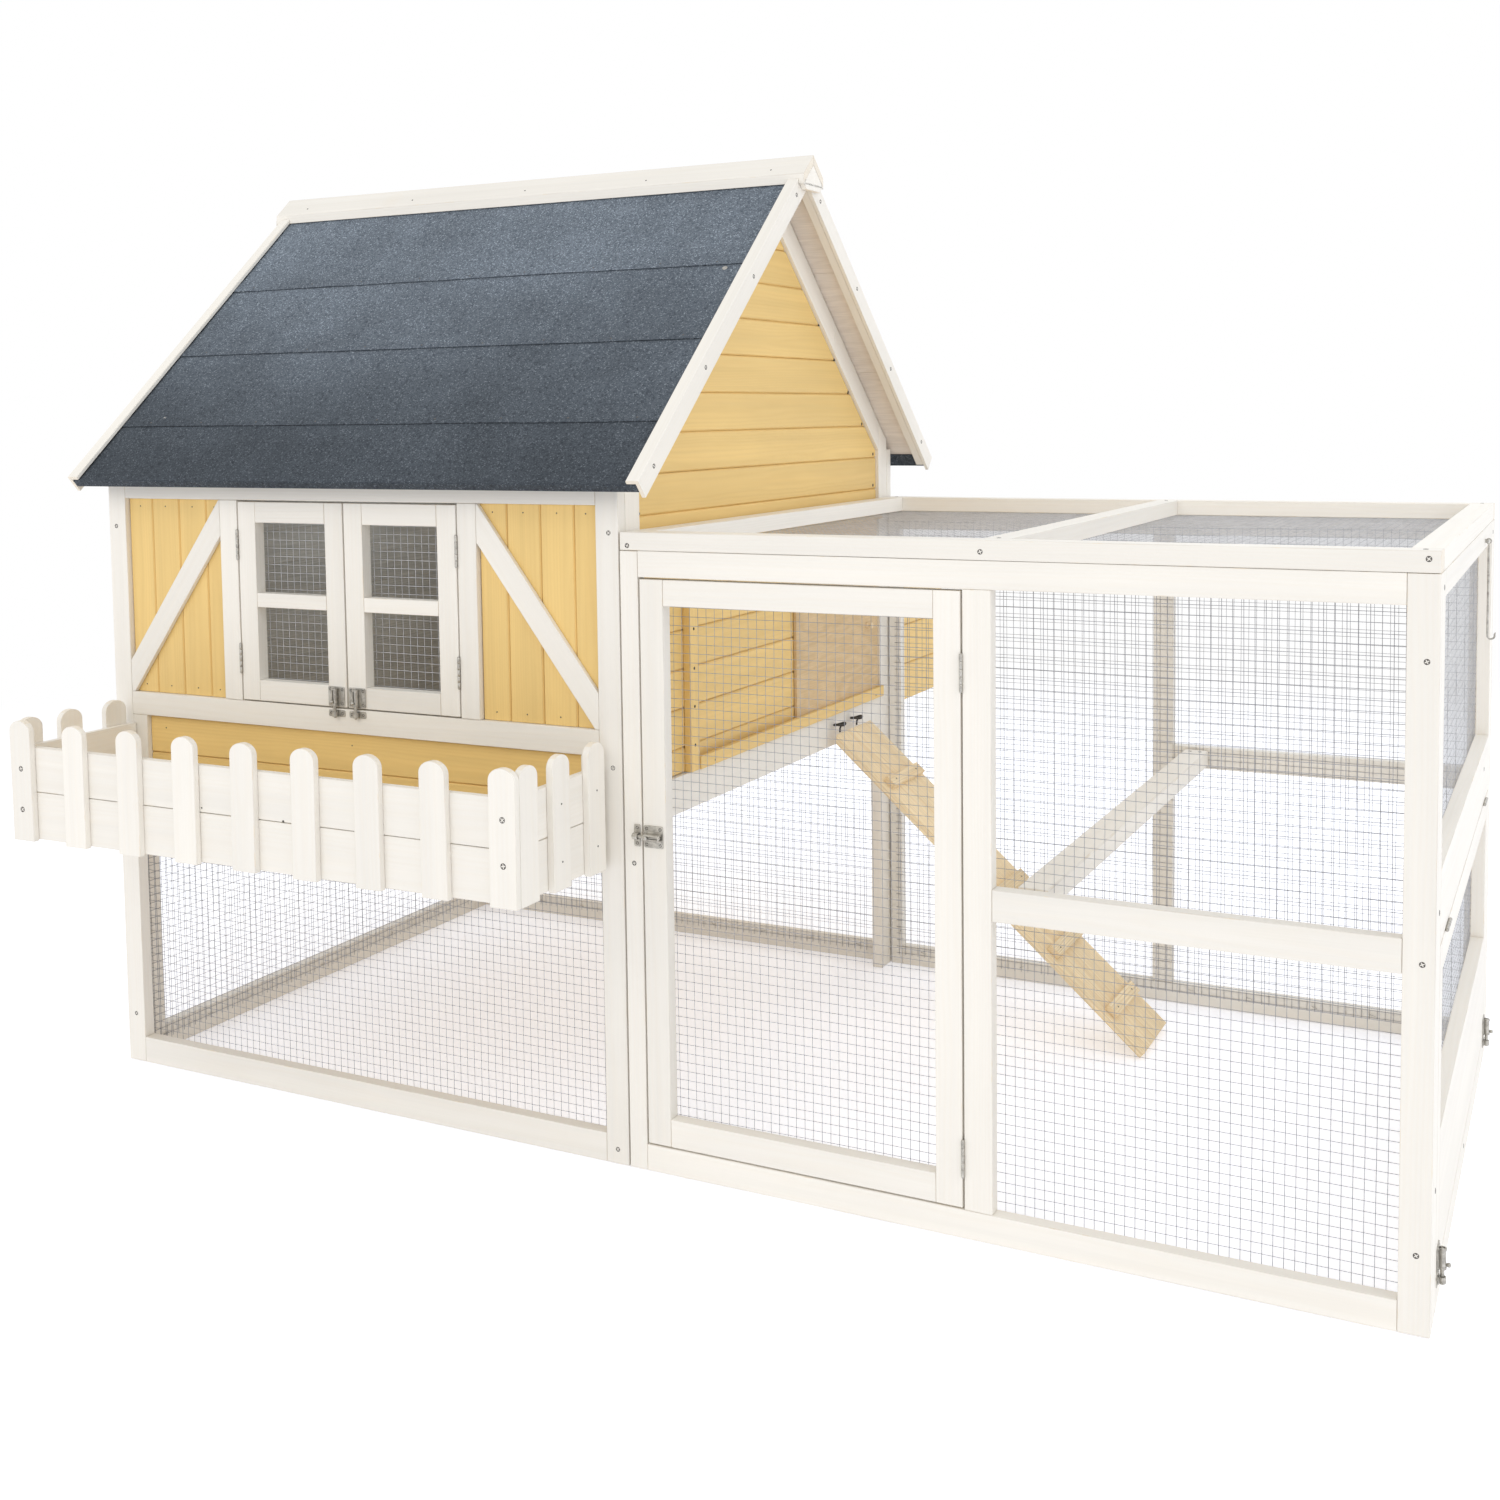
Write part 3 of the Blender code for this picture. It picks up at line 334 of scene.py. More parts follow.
def felt_material(name):
    """Mineral-surfaced roofing felt: granules, worn and dusty patches, and a painted sky sheen
    that grows paler to the ridge.
    """
    mat = Shader(name)
    grain = mat.grain()
    fine, grit, _ = mat.cells(grain, scale=620.0)
    coarse, _, pits = mat.cells(grain, scale=260.0)
    colour = mat.mix(mat.ramp(grit, span=(0.0, 1.0)),
                     (0.029, 0.0355, 0.044), (0.069, 0.080, 0.091))
    spark = mat.fade(grit, span=(0.90, 0.97))
    colour = mat.mix(mat.times(spark, 0.50), colour, (0.17, 0.19, 0.21))
    pit = mat.fade(pits, span=(0.86, 0.95))
    colour = mat.mix(mat.times(pit, 0.5), colour, (0.018, 0.022, 0.028))
    cloud = mat.noise(grain, stretch=(2.6, 4.0, 4.0), detail=4.0, rough=0.6)
    wipe = mat.noise(grain, stretch=(9.0, 2.0, 2.0), detail=4.0, rough=0.6)
    colour = mat.shade(colour, mat.times(mat.ramp(cloud, span=(0.25, 0.75), to=(0.80, 1.22)),
                                         mat.ramp(wipe, span=(0.3, 0.7), to=(0.92, 1.08))))
    dust = mat.noise(grain, scale=16.0, detail=5.0, rough=0.7)
    dust = mat.fade(dust, span=(0.55, 0.85), to=(0.0, 0.22))
    colour = mat.mix(dust, colour, (0.13, 0.145, 0.16))
    world_z = mat.z_of(mat.node("ShaderNodeNewGeometry").outputs["Position"])
    # painted sky sheen on the felt, paler towards the ridge
    sky_sheen = mat.fade(mat.plus(world_z, mat.times(cloud, 0.10)), span=(0.98, 1.44))
    # painted sheen: brightness gains with height, and the level at the eaves
    colour = mat.shade(colour, mat.math("MULTIPLY_ADD", sky_sheen, 2.10, 1.16))
    colour = mat.mix(mat.times(mat.attr("edge"), 0.55), colour, (0.012, 0.014, 0.017))
    normal = mat.bump(mat.plus(fine, mat.times(coarse, 0.7)), distance=0.0012, strength=0.75)
    rough = mat.ramp(grit, span=(0.0, 1.0), to=(0.82, 0.98))
    return mat.finish(colour, rough, normal, spec=0.25)


def metal_material(name, base, dark, rough, metal, scale, stain):
    """Clouded, spangled metal with brown spots; scale is clouds per metre."""
    mat = Shader(name)
    grain = mat.grain()
    cloud = mat.noise(grain, scale=scale, detail=5.0, rough=0.65)
    _, spangle, _ = mat.cells(grain, scale=scale * 5.0)
    colour = mat.mix(mat.fade(cloud, span=(0.35, 0.75), to=(0.0, 0.8)), base, dark)
    colour = mat.shade(colour, mat.ramp(spangle, span=(0.0, 1.0), to=(0.90, 1.06)))
    spots = mat.noise(grain, scale=scale * 2.3, rough=0.7)
    spots = mat.fade(spots, span=(0.62, 0.72), to=(0.0, stain))
    colour = mat.mix(spots, colour, (0.20, 0.17, 0.13))
    scratch = mat.noise(grain, stretch=(60.0, 1400.0, 1400.0), detail=2.0, rough=0.6)
    gloss = mat.ramp(cloud, span=(0.2, 0.8), to=(rough - 0.08, rough + 0.16))
    normal = mat.bump(mat.plus(cloud, mat.times(scratch, 0.5)), distance=0.0002, strength=0.35)
    return mat.finish(colour, mat.plus(gloss, mat.times(spots, 0.4)), normal, metal=metal)


CREAM = painted("cream_paint_brushed", base=(0.885, 0.842, 0.762), under=(0.80, 0.66, 0.46),
                knot=(0.50, 0.34, 0.19), knot_amount=0.34, ring_amount=0.055,
                dirt_and_shade=(0.52, 0.46, 0.38), rough=0.47, wear=0.42, streak=0.045)
YELLOW = painted("yellow_paint_brushed", base=(0.865, 0.605, 0.228), under=(0.68, 0.44, 0.15),
                 knot=(0.34, 0.19, 0.07), knot_amount=0.72, ring_amount=0.16,
                 dirt_and_shade=(0.34, 0.20, 0.08), rough=0.52, wear=0.40, streak=0.085)
PINE = bare_wood("pine_bare", light=(0.950, 0.790, 0.530), dark=(0.820, 0.600, 0.330),
                 knot=(0.30, 0.14, 0.055), ring_amount=0.62)
# a spare finish that stays in the material list
bare_wood("pine_raw_edge", light=(0.70, 0.56, 0.37), dark=(0.52, 0.37, 0.20),
          knot=(0.27, 0.15, 0.07), ring_amount=0.75)
PLY = plywood("plywood_panel", light=(0.730, 0.540, 0.310), dark=(0.600, 0.410, 0.200))
INSIDE = bare_wood("pine_unpainted_inside", light=(0.57, 0.55, 0.51), dark=(0.47, 0.45, 0.41),
                   knot=(0.25, 0.20, 0.16), ring_amount=0.5)
SOFFIT = plywood("plywood_soffit", light=(0.800, 0.715, 0.625), dark=(0.690, 0.600, 0.510))
FELT = felt_material("roof_felt_mineral")
WIRE_DULL = metal_material("galvanised_wire", base=(0.36, 0.36, 0.385), dark=(0.25, 0.25, 0.268),
                           rough=0.50, metal=0.45, scale=40.0, stain=0.08)
# a lighter copy of the same galvanised wire: painted sheen
WIRE_SHEEN_COPY = metal_material("galvanised_wire_painted_sheen", base=(0.56, 0.565, 0.585),
                             dark=(0.40, 0.405, 0.42), rough=0.50, metal=0.35, scale=40.0,
                             stain=0.08)
ZINC = metal_material("zinc_plate", base=(0.60, 0.575, 0.52), dark=(0.30, 0.28, 0.245),
                      rough=0.34, metal=0.85, scale=120.0, stain=0.40)
SCREW = metal_material("screw_steel", base=(0.150, 0.138, 0.122), dark=(0.065, 0.058, 0.050),
                       rough=0.42, metal=0.60, scale=300.0, stain=0.35)
BLACK = metal_material("black_steel", base=(0.070, 0.065, 0.062), dark=(0.030, 0.028, 0.027),
                       rough=0.42, metal=0.75, scale=200.0, stain=0.25)


# ------------------------------------------------------------------ piece
class Piece:
    """Collects closed solids given in layout coordinates for one mesh."""

    def __init__(self):
        self.verts, self.grain, self.tint = [], [], []
        self.faces, self.mats, self.edge, self.end, self.smooth = [], [], [], [], []

    def add_face(self, face, mat, edge=0.0, end=0.0, smooth=True):
        self.faces.append(face)
        self.mats.append(mat)
        self.edge.append(edge)
        self.end.append(end)
        self.smooth.append(smooth)

    def add(self, verts, faces, grain, mat=0):
        """Add a smooth mesh; returns the index of its first vertex."""
        first = len(self.verts)
        self.verts += [tuple(v + ORIGIN) for v in verts]
        self.grain += grain
        self.tint += [0.5] * len(verts)
        for face in faces:
            self.add_face([i + first for i in face], mat)
        return first

    def add_solid(self, solid, grain, wide, mat=0, tint=None, edge_faces=(), wobble=0.0):
        """Add a bmesh solid with a grain coordinate of its own, bent a little by wobble."""
        grain = Vector(grain).normalized()
        wide = Vector(wide)
        wide = (wide - grain * wide.dot(grain)).normalized()
        third = grain.cross(wide)
        tint = rnd.random() if tint is None else tint
        seed = rnd.random() * 60.0
        # how far the pith lies from the middle of the timber
        pith_wide = rnd.uniform(-0.03, 0.03)
        pith_third = rnd.choice((-1, 1)) * rnd.uniform(0.012, 0.05)
        middle = sum((v.co for v in solid.verts), Vector((0, 0, 0))) / len(solid.verts)
        first = len(self.verts)
        solid.verts.index_update()
        for v in solid.verts:
            off = v.co - middle
            run = off.dot(grain)
            self.grain.append((run + seed, off.dot(wide) + pith_wide,
                               off.dot(third) + pith_third))
            place = v.co.copy()
            if wobble:
                at = run * 2.4 + seed
                place += wide * (noise.noise(Vector((at, 1.7, seed))) * wobble)
                place += third * (noise.noise(Vector((at, 9.1, seed))) * wobble)
            self.verts.append(tuple(place + ORIGIN))
            self.tint.append(tint)
        edge_faces = set(edge_faces)
        for f in solid.faces:
            self.add_face([first + v.index for v in f.verts], mat, float(f in edge_faces),
                          float(abs(f.normal.dot(grain)) > 0.8), smooth=False)
        solid.free()

    def repaint(self, mat, inside):
        """Give another material to the first-material faces that lie wholly inside."""
        for n, face in enumerate(self.faces):
            if self.mats[n] == 0 and all(inside(Vector(self.verts[k]) - ORIGIN) for k in face):
                self.mats[n] = mat

    def mesh(self, name, materials):
        mesh = bpy.data.meshes.new(name)
        mesh.from_pydata(self.verts, [], self.faces)
        for material in materials:
            mesh.materials.append(material)
        mesh.polygons.foreach_set("material_index", self.mats)
        mesh.polygons.foreach_set("use_smooth", self.smooth)
        coords = mesh.attributes.new("gco", "FLOAT_VECTOR", "POINT")
        coords.data.foreach_set("vector", [c for g in self.grain for c in g])
        for key, domain, values in (("tint", "POINT", self.tint), ("edge", "FACE", self.edge),
                                    ("endg", "FACE", self.end)):
            mesh.attributes.new(key, "FLOAT", domain).data.foreach_set("value", values)
        mesh.validate()
        mesh.update()
        return mesh


@contextmanager
def piece(name, materials, slot, *stands_for, body="coop"):
    """Fill a Piece in a with block; it becomes an object on its body when the block ends."""
    part = Piece()
    yield part
    obj = bpy.data.objects.new(name, part.mesh(name, materials))
    bpy.context.scene.collection.objects.link(obj)
    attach(obj, body)
    if stands_for:
        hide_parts(*stands_for)


# ------------------------------------------------------------------ solids
def box(xs, ys, zs):
    solid = bmesh.new()
    vs = [solid.verts.new((x, y, z)) for x in xs for y in ys for z in zs]
    for quad in ((0, 1, 3, 2), (4, 6, 7, 5), (0, 4, 5, 1), (2, 3, 7, 6), (0, 2, 6, 4),
                 (1, 5, 7, 3)):
        solid.faces.new([vs[i] for i in quad])
    bmesh.ops.recalc_face_normals(solid, faces=solid.faces[:])
    return solid


def placed_box(xs, ys, zs, place):
    """A box whose corners are moved by place(x, y, z)."""
    solid = box(xs, ys, zs)
    for v in solid.verts:
        v.co = place(*v.co)
    bmesh.ops.recalc_face_normals(solid, faces=solid.faces[:])
    return solid


def loft(rings, caps_first=True):
    """A closed skin over rings of points."""
    solid = bmesh.new()
    rings = [[solid.verts.new(p) for p in ring] for ring in rings]
    count = len(rings[0])
    caps = [rings[0], rings[-1]]
    walls = [(low[i], low[(i + 1) % count], high[(i + 1) % count], high[i])
             for low, high in zip(rings, rings[1:]) for i in range(count)]
    for face in (caps + walls if caps_first else walls + caps):
        solid.faces.new(face)
    bmesh.ops.recalc_face_normals(solid, faces=solid.faces[:])
    return solid


def prism(points, axis, start, end):
    """Extrude a polygon. axis 'x': points are (y, z); 'y': (x, z); 'z': (x, y)."""
    index = "xyz".index(axis)
    return loft([[(*p[:index], at, *p[index:]) for p in points] for at in (start, end)])


def cut(solid, point, normal, dist=1e-7, **options):
    return bmesh.ops.bisect_plane(
        solid, geom=solid.verts[:] + solid.edges[:] + solid.faces[:], dist=dist,
        plane_co=point, plane_no=normal, **options)


def clip(solid, point, normal):
    """Remove what lies on the normal's side of the plane and close the cut."""
    if not solid.verts:
        return
    result = cut(solid, point, normal, dist=1e-6, clear_outer=True)
    edges = [e for e in result["geom_cut"] if isinstance(e, bmesh.types.BMEdge)]
    if edges:
        bmesh.ops.contextual_create(solid, geom=edges)
    bmesh.ops.recalc_face_normals(solid, faces=solid.faces[:])


def board(part, solid, grain, wide, bevel=0.0011, segments=2, mat=0, step=0.10,
          wobble=0.00018, angle=0.30):
    """Cut a solid along its grain, bevel edges sharper than angle, add it as one timber."""
    if not solid.faces:
        solid.free()
        return
    grain = Vector(grain).normalized()
    runs = [v.co.dot(grain) for v in solid.verts]
    low, high = min(runs), max(runs)
    count = int((high - low) / step) if step else 0
    for i in range(1, count):
        cut(solid, grain * (low + (high - low) * i / count), grain)
    edges = [e for e in solid.edges if len(e.link_faces) == 2 and e.calc_face_angle(0.0) > angle]
    flagged = []
    if bevel and edges:
        flagged = bmesh.ops.bevel(solid, geom=edges, offset=bevel, segments=segments,
                                  profile=0.6, affect="EDGES", clamp_overlap=True)["faces"]
        solid.normal_update()
    part.add_solid(solid, grain, wide, mat, edge_faces=flagged, wobble=wobble)


CRISP = dict(bevel=0.0004, segments=1)                          # thin boards
SHEET = dict(bevel=0.0006, segments=1)                          # panels
LEAF_METAL = dict(bevel=0.0002, segments=1, step=0, wobble=0)   # hinge leaves


def timber(part, xs, ys, zs, axis, gap=JOINT, **options):
    """A planed stick along an axis; the gap opens a hairline joint at both of its ends."""
    spans = dict(zip("xyz", (xs, ys, zs)))
    wide = max((k for k in "xyz" if k != axis), key=lambda k: spans[k][1] - spans[k][0])
    low, high = spans[axis]
    spans[axis] = (low + gap, high - gap)
    board(part, box(*spans.values()), AXES[axis], AXES[wide], **options)


# axis square to a panel, and the span its timbers fill there
FRONT = ("y", (0, THICK))
REAR = ("y", (DEPTH - THICK, DEPTH))
END = ("x", (LENGTH - THICK, LENGTH))


def sticks(part, panel, table, stile_gap=JOINT):
    """Timbers of an upright panel. Rows: low and high along the panel, z0, z1, grain axis."""
    across, depth = panel
    for low, high, z0, z1, axis in table:
        xs, ys = ((low, high), depth) if across == "y" else (depth, (low, high))
        timber(part, xs, ys, (z0, z1), axis, gap=stile_gap if axis == "z" else JOINT)


def vee(face, back, low, high, half=0.0022):
    """Section (depth, across) of a board, its face arrises planed to half a V joint."""
    groove = face + math.copysign(0.0026, back - face)
    return [(face, low + half), (face, high - half), (groove, high - 0.0001),
            (back, high - 0.0001), (back, low + 0.0001), (groove, low + 0.0001)]


# ------------------------------------------------------------------ round parts
def tube_faces(count, sides, closed=False):
    """Faces over count rings of vertices, capped unless closed into a loop."""
    faces = []
    for i in range(count if closed else count - 1):
        a, b = i * sides, ((i + 1) % count) * sides
        for k in range(sides):
            m = (k + 1) % sides
            faces.append((a + k, a + m, b + m, b + k))
    if not closed:
        faces.append(tuple(reversed(range(sides))))
        faces.append(tuple((count - 1) * sides + k for k in range(sides)))
    return faces


def tube(part, points, radius, sides, mat=0, closed=False, up=None, taper=None):
    """A round wire or rod along a polyline; taper scales the radius at each point."""
    points = [Vector(p) for p in points]
    count = len(points)
    verts, grain = [], []
    side = None
    run = 0.0
    seed = rnd.random() * 9.0
    for i, p in enumerate(points):
        if closed:
            along = (points[(i + 1) % count] - points[i - 1]).normalized()
        else:
            along = (points[min(i + 1, count - 1)] - points[max(i - 1, 0)]).normalized()
        if side is not None:
            side = side - along * side.dot(along)
        elif up is not None and abs(up.dot(along)) < 0.99:
            side = up.cross(along)
        else:
            side = along.orthogonal()
        side.normalize()
        other = along.cross(side)
        reach = radius * (taper[i] if taper else 1.0)
        if i:
            run += (p - points[i - 1]).length
        for k in range(sides):
            turn = 2 * math.pi * k / sides
            off = side * (reach * math.cos(turn)) + other * (reach * math.sin(turn))
            verts.append(p + off)
            grain.append((run + seed, off.dot(side) + seed, off.dot(other)))
    part.add(verts, tube_faces(count, sides, closed), grain, mat)


def turned(part, place, profile, sides, mat=0):
    """A turned knob. The profile lists (distance, radius); place(distance) gives the point."""
    tube(part, [place(d) for d, _ in profile], 1.0, sides, mat, taper=[r for _, r in profile])


def arc(centre, right, up, radius, start, end, steps):
    """Points on an arc from start to end, in degrees from right towards up."""
    centre, right, up = Vector(centre), Vector(right).normalized(), Vector(up).normalized()
    start, end = math.radians(start), math.radians(end)
    turns = [start + (end - start) * i / steps for i in range(steps + 1)]
    return [centre + right * (radius * math.cos(a)) + up * (radius * math.sin(a)) for a in turns]


def facing(normal):
    """Two directions in the face, and its unit normal."""
    out = Vector(normal).normalized()
    up = X if abs(out.z) > 0.95 else Z
    side = up.cross(out).normalized()
    return side, out.cross(side).normalized(), out


def screw(part, at, normal, radius=0.0034, mat=1):
    """Countersunk screw head with a cross recess, standing a hair above the face."""
    side, up, out = facing(normal)
    at = Vector(at)
    turn = rnd.random() * math.pi
    seed = rnd.random() * 5
    sides = 24
    reaches = (0.0, 0.22, 0.42, 0.62, 0.86, 1.0, 1.0)   # ring radii as shares of the radius
    verts, grain, rings = [], [], []
    for level, reach in enumerate(reaches):
        ring = []
        for k in range(sides if reach else 1):
            a = 2 * math.pi * k / sides
            x, y = reach * math.cos(a), reach * math.sin(a)
            height = 0.00055 * (1.0 - reach * reach * 0.75)
            cross_x = abs(x * math.cos(turn) - y * math.sin(turn))
            cross_y = abs(x * math.sin(turn) + y * math.cos(turn))
            if min(cross_x, cross_y) < 0.19 and max(cross_x, cross_y) < 0.66:
                height -= 0.0009
            if level == len(reaches) - 1:
                height = -0.0012
            ring.append(len(verts))
            verts.append(at + side * (x * radius) + up * (y * radius) + out * height)
            grain.append((x * radius + seed, y * radius, height))
        rings.append(ring)
    after = [(k + 1) % sides for k in range(sides)]
    faces = [(0, rings[1][k], rings[1][after[k]]) for k in range(sides)]
    for inner, outer in zip(rings[1:], rings[2:]):
        for k, m in enumerate(after):
            faces.append((inner[k], outer[k], outer[m], inner[m]))
    faces.append(tuple(reversed(rings[-1])))
    part.add(verts, faces, grain, mat)


def nail(part, at, normal, radius=0.0015, mat=1):
    side, up, out = facing(normal)
    at = Vector(at)
    sides = 10
    offs = []
    for reach, height in ((1.0, -0.0008), (1.0, 0.00025), (0.72, 0.0005)):
        for k in range(sides):
            a = 2 * math.pi * k / sides
            offs.append(side * (reach * radius * math.cos(a))
                        + up * (reach * radius * math.sin(a)) + out * height)
    part.add([at + off for off in offs], tube_faces(3, sides), [tuple(off) for off in offs], mat)


# ------------------------------------------------------------------ netting
MESH_PITCH = 0.0127


def mesh_panel(part, radius, corner, along, rise, width, height, inward):
    """One rectangle of welded wires, stapled round its rim; inward is its stapled side."""
    corner = Vector(corner)
    seed = rnd.random() * 30.0

    def place(u, v, lift):
        """A point of the sheet, pulled slightly out of square and out of flat."""
        q = Vector((u * 3.1 + seed, v * 3.1, seed))
        du = noise.noise(q) * 0.0022
        dv = noise.noise(q + Vector((7.7, 3.3, 1.1))) * 0.0022
        dn = noise.noise(q * 1.7 + Vector((1.9, 8.3, 5.1))) * 0.00035
        return corner + along * (u + du) + rise * (v + dv) + inward * (lift + dn)

    # wires along the rise lie inside, wires along the width outside
    for run, span, upright, lift in ((width, height, True, 0.00036),
                                     (height, width, False, -0.00036)):
        count = int((run - 0.004) / MESH_PITCH)
        start = (run - count * MESH_PITCH) / 2
        steps = max(2, int(span / (MESH_PITCH * 3)))
        for i in range(count + 1):
            at = start + i * MESH_PITCH
            line = [0.0006 + (span - 0.0012) * k / steps for k in range(steps + 1)]
            tube(part, [place(at, q, lift) if upright else place(q, at, lift) for q in line],
                 radius, 6, up=inward)
    # staples are driven into the timber behind the rim
    for run, span, lay, across in ((width, height, along, rise), (height, width, rise, along)):
        count = max(2, int(run / 0.095))
        for depth in (0.009, span - 0.009):
            for k in range(count):
                at = run * (k + 0.5) / count + rnd.uniform(-0.012, 0.012)
                base = corner + lay * at + across * depth + inward * 0.0011
                tilt = rnd.uniform(-0.5, 0.5)
                half = (lay * math.cos(tilt) + across * math.sin(tilt)) * 0.0048
                tube(part, [base - half - inward * 0.0016, base - half * 0.97 + inward * 0.0001,
                            base + half * 0.97 + inward * 0.0001, base + half - inward * 0.0016],
                     0.00048, 6, 1, up=across)


def netting(name, stands_for, *panels, body="coop", radius=0.00036, wire=WIRE_DULL):
    """Panels are (corner, along, rise, width, height, inward)."""
    with piece(name, [wire, ZINC], "wire_mesh", stands_for, body=body) as part:
        for panel in panels:
            mesh_panel(part, radius, *panel)


# door, windows and flap: edges of the leaves
DOOR_X0, DOOR_X1, DOOR_Z0, DOOR_Z1 = 0.9925, 1.4538, 0.0400, 0.8305
WINDOW_X = {"left": 0.2745, "right": 0.4825}
WINDOW_W, WINDOW_Z0, WINDOW_Z1 = 0.2050, 0.6190, 0.9280
FLAP_Z0, FLAP_Z1 = 0.0400, 0.4350

mesh_end = LENGTH - 0.0216
netting("run_front_netting", "run_front_mesh",
        ((1.4760, MESH_IN, 0.020), X, Z, mesh_end - 1.4760, 0.831, Y))
netting("run_rear_netting", "run_rear_mesh",
        ((0.9740, DEPTH - MESH_IN, 0.018), X, Z, mesh_end - 0.9740, 0.833, -Y))
netting("run_end_netting", "run_end_mesh",
        ((LENGTH - MESH_IN, 0.042, 0.507), Y, Z, DEPTH - 0.084, 0.348, -X),
        radius=0.00032, wire=WIRE_SHEEN_COPY)
netting("run_roof_netting", "run_roof_mesh",
        ((0.9800, 0.0222, RUN_H - 0.0010), X, Y, LENGTH - 0.0222 - 0.9800, DEPTH - 0.0444, -Z),
        radius=0.00034, wire=WIRE_SHEEN_COPY)
base_w = HOUSE_W - 2 * THICK - 3 * GAP
netting("house_base_netting", "house_base_mesh",
        ((MESH_IN, THICK + GAP, 0.018), Y, Z, DEPTH - 2 * THICK - 2 * GAP, 0.420, X),
        ((THICK + GAP, MESH_IN, 0.018), X, Z, base_w, 0.420, Y),
        ((THICK + GAP, DEPTH - MESH_IN, 0.018), X, Z, base_w, 0.420, -Y))
netting("run_door_netting", "run_door_mesh",
        ((DOOR_X0 + 0.020, MESH_IN, DOOR_Z0 + 0.022), X, Z, DOOR_X1 - DOOR_X0 - 0.040,
         DOOR_Z1 - DOOR_Z0 - 0.042, Y), body="run_door_leaf")
for side, x in WINDOW_X.items():
    netting("window_netting_" + side, "window_mesh_" + side,
            ((x + 0.018, MESH_IN, WINDOW_Z0 + 0.016), X, Z, WINDOW_W - 0.036,
             WINDOW_Z1 - WINDOW_Z0 - 0.032, Y),
            body="window_" + side + "_leaf", radius=0.00042, wire=WIRE_SHEEN_COPY)
netting("end_flap_netting", "end_flap_mesh",
        ((LENGTH - MESH_IN, 0.080, 0.188), Y, Z, DEPTH - 0.160, 0.228, -X),
        body="end_flap_leaf", radius=0.00032, wire=WIRE_SHEEN_COPY)

# ------------------------------------------------------------------ house front
RAIL_X0, RAIL_X1 = POST, HOUSE_W - POST         # rails run between the corner posts
LOW_Z0, LOW_Z1 = 0.455, 0.580                   # lower boarded strip
SILL_Z, HEAD_Z = 0.617, 0.9305                  # window band
OPEN_X0, OPEN_X1 = 0.272, 0.690                 # window opening
STILE_X0, STILE_X1 = 0.237, 0.723               # outer edges of the stiles beside it

with piece("house_front_timbers", [CREAM], "cream_paint", "house_front_frame") as part:
    sticks(part, FRONT, (
        (0, POST, 0, POST_TOP, "z"),
        (HOUSE_W - POST, HOUSE_W, 0, POST_TOP, "z"),
        (RAIL_X0, RAIL_X1, 0, 0.042, "x"),
        (RAIL_X0, RAIL_X1, 0.415, LOW_Z0, "x"),
        (RAIL_X0, RAIL_X1, LOW_Z1, SILL_Z, "x"),
        (RAIL_X0, RAIL_X1, HEAD_Z, POST_TOP, "x"),
        (RAIL_X0, 0.067, LOW_Z0, LOW_Z1, "z"),
        (0.893, RAIL_X1, LOW_Z0, LOW_Z1, "z"),
        (STILE_X0, OPEN_X0, SILL_Z, HEAD_Z, "z"),
        (OPEN_X1, STILE_X1, SILL_Z, HEAD_Z, "z")))

SIDING_FACE, SIDING_BACK = 0.0080, 0.0180
BAND_Z0, BAND_Z1 = SILL_Z + GAP, HEAD_Z - GAP
BAND_X0, BAND_X1 = RAIL_X0 + GAP, STILE_X0 - GAP

for side, seams in (("left", (BAND_X0, 0.087, 0.144, 0.201, BAND_X1)),
                    ("right", (STILE_X1 + GAP, 0.771, 0.828, 0.884, RAIL_X1 - GAP))):
    with piece("siding_front_" + side + "_boards", [YELLOW, SCREW], "yellow_paint",
               "siding_front_" + side) as part:
        for x0, x1 in zip(seams, seams[1:]):
            section = [(x, y) for y, x in vee(SIDING_FACE, SIDING_BACK, x0, x1)]
            board(part, prism(section, "z", BAND_Z0, BAND_Z1), Z, X, **CRISP)
            for z in (BAND_Z0 + 0.012, BAND_Z1 - 0.012):
                nail(part, ((x0 + x1) / 2, SIDING_FACE, z), -Y, 0.0011)

with piece("siding_front_lower_boards", [YELLOW, SCREW], "yellow_paint",
           "siding_front_lower") as part:
    seams = (LOW_Z0 + GAP, 0.4610, 0.5190, LOW_Z1 - GAP)
    for z0, z1 in zip(seams, seams[1:]):
        section = vee(SIDING_FACE, SIDING_BACK, z0, z1, half=0.0018)
        board(part, prism(section, "x", 0.067 + GAP, 0.893 - GAP), X, Z, **CRISP)
    for x in (0.10, 0.48, 0.86):
        for z in (0.475, 0.560):
            nail(part, (x, SIDING_FACE, z), -Y, 0.0011)

# slanting braces over the boards beside the windows; outline (x, z) of the left one
BRACE = ((BAND_X0, BAND_Z0), (BAND_X0 + 0.006, BAND_Z0), (BAND_X1, BAND_Z1 - 0.056),
         (BAND_X1, BAND_Z1), (BAND_X1 - 0.002, BAND_Z1), (BAND_X0, 0.668))
lean = Vector((BAND_X1 - BAND_X0, 0, BAND_Z1 - BAND_Z0 - 0.05)).normalized()
for side, outline, lean_x in (("left", BRACE, lean.x),
                              ("right", [(HOUSE_W - x, z) for x, z in BRACE], -lean.x)):
    with piece("brace_" + side + "_timber", [CREAM, SCREW], "cream_paint",
               "brace_" + side) as part:
        board(part, prism(outline, "y", 0.0002, 0.0076), (lean_x, 0, lean.z),
              (lean.z, 0, -lean_x), bevel=0.0009)

# ------------------------------------------------------------------ house sides
INNER_Y0, INNER_Y1 = THICK + GAP, DEPTH - THICK - GAP   # between the front and rear panels
STILE_W = 0.060                                         # far edge of the side posts
SIDE_Y0, SIDE_Y1 = STILE_W, DEPTH - STILE_W
TRIM_DROP = SIDE_DROP + TRIM


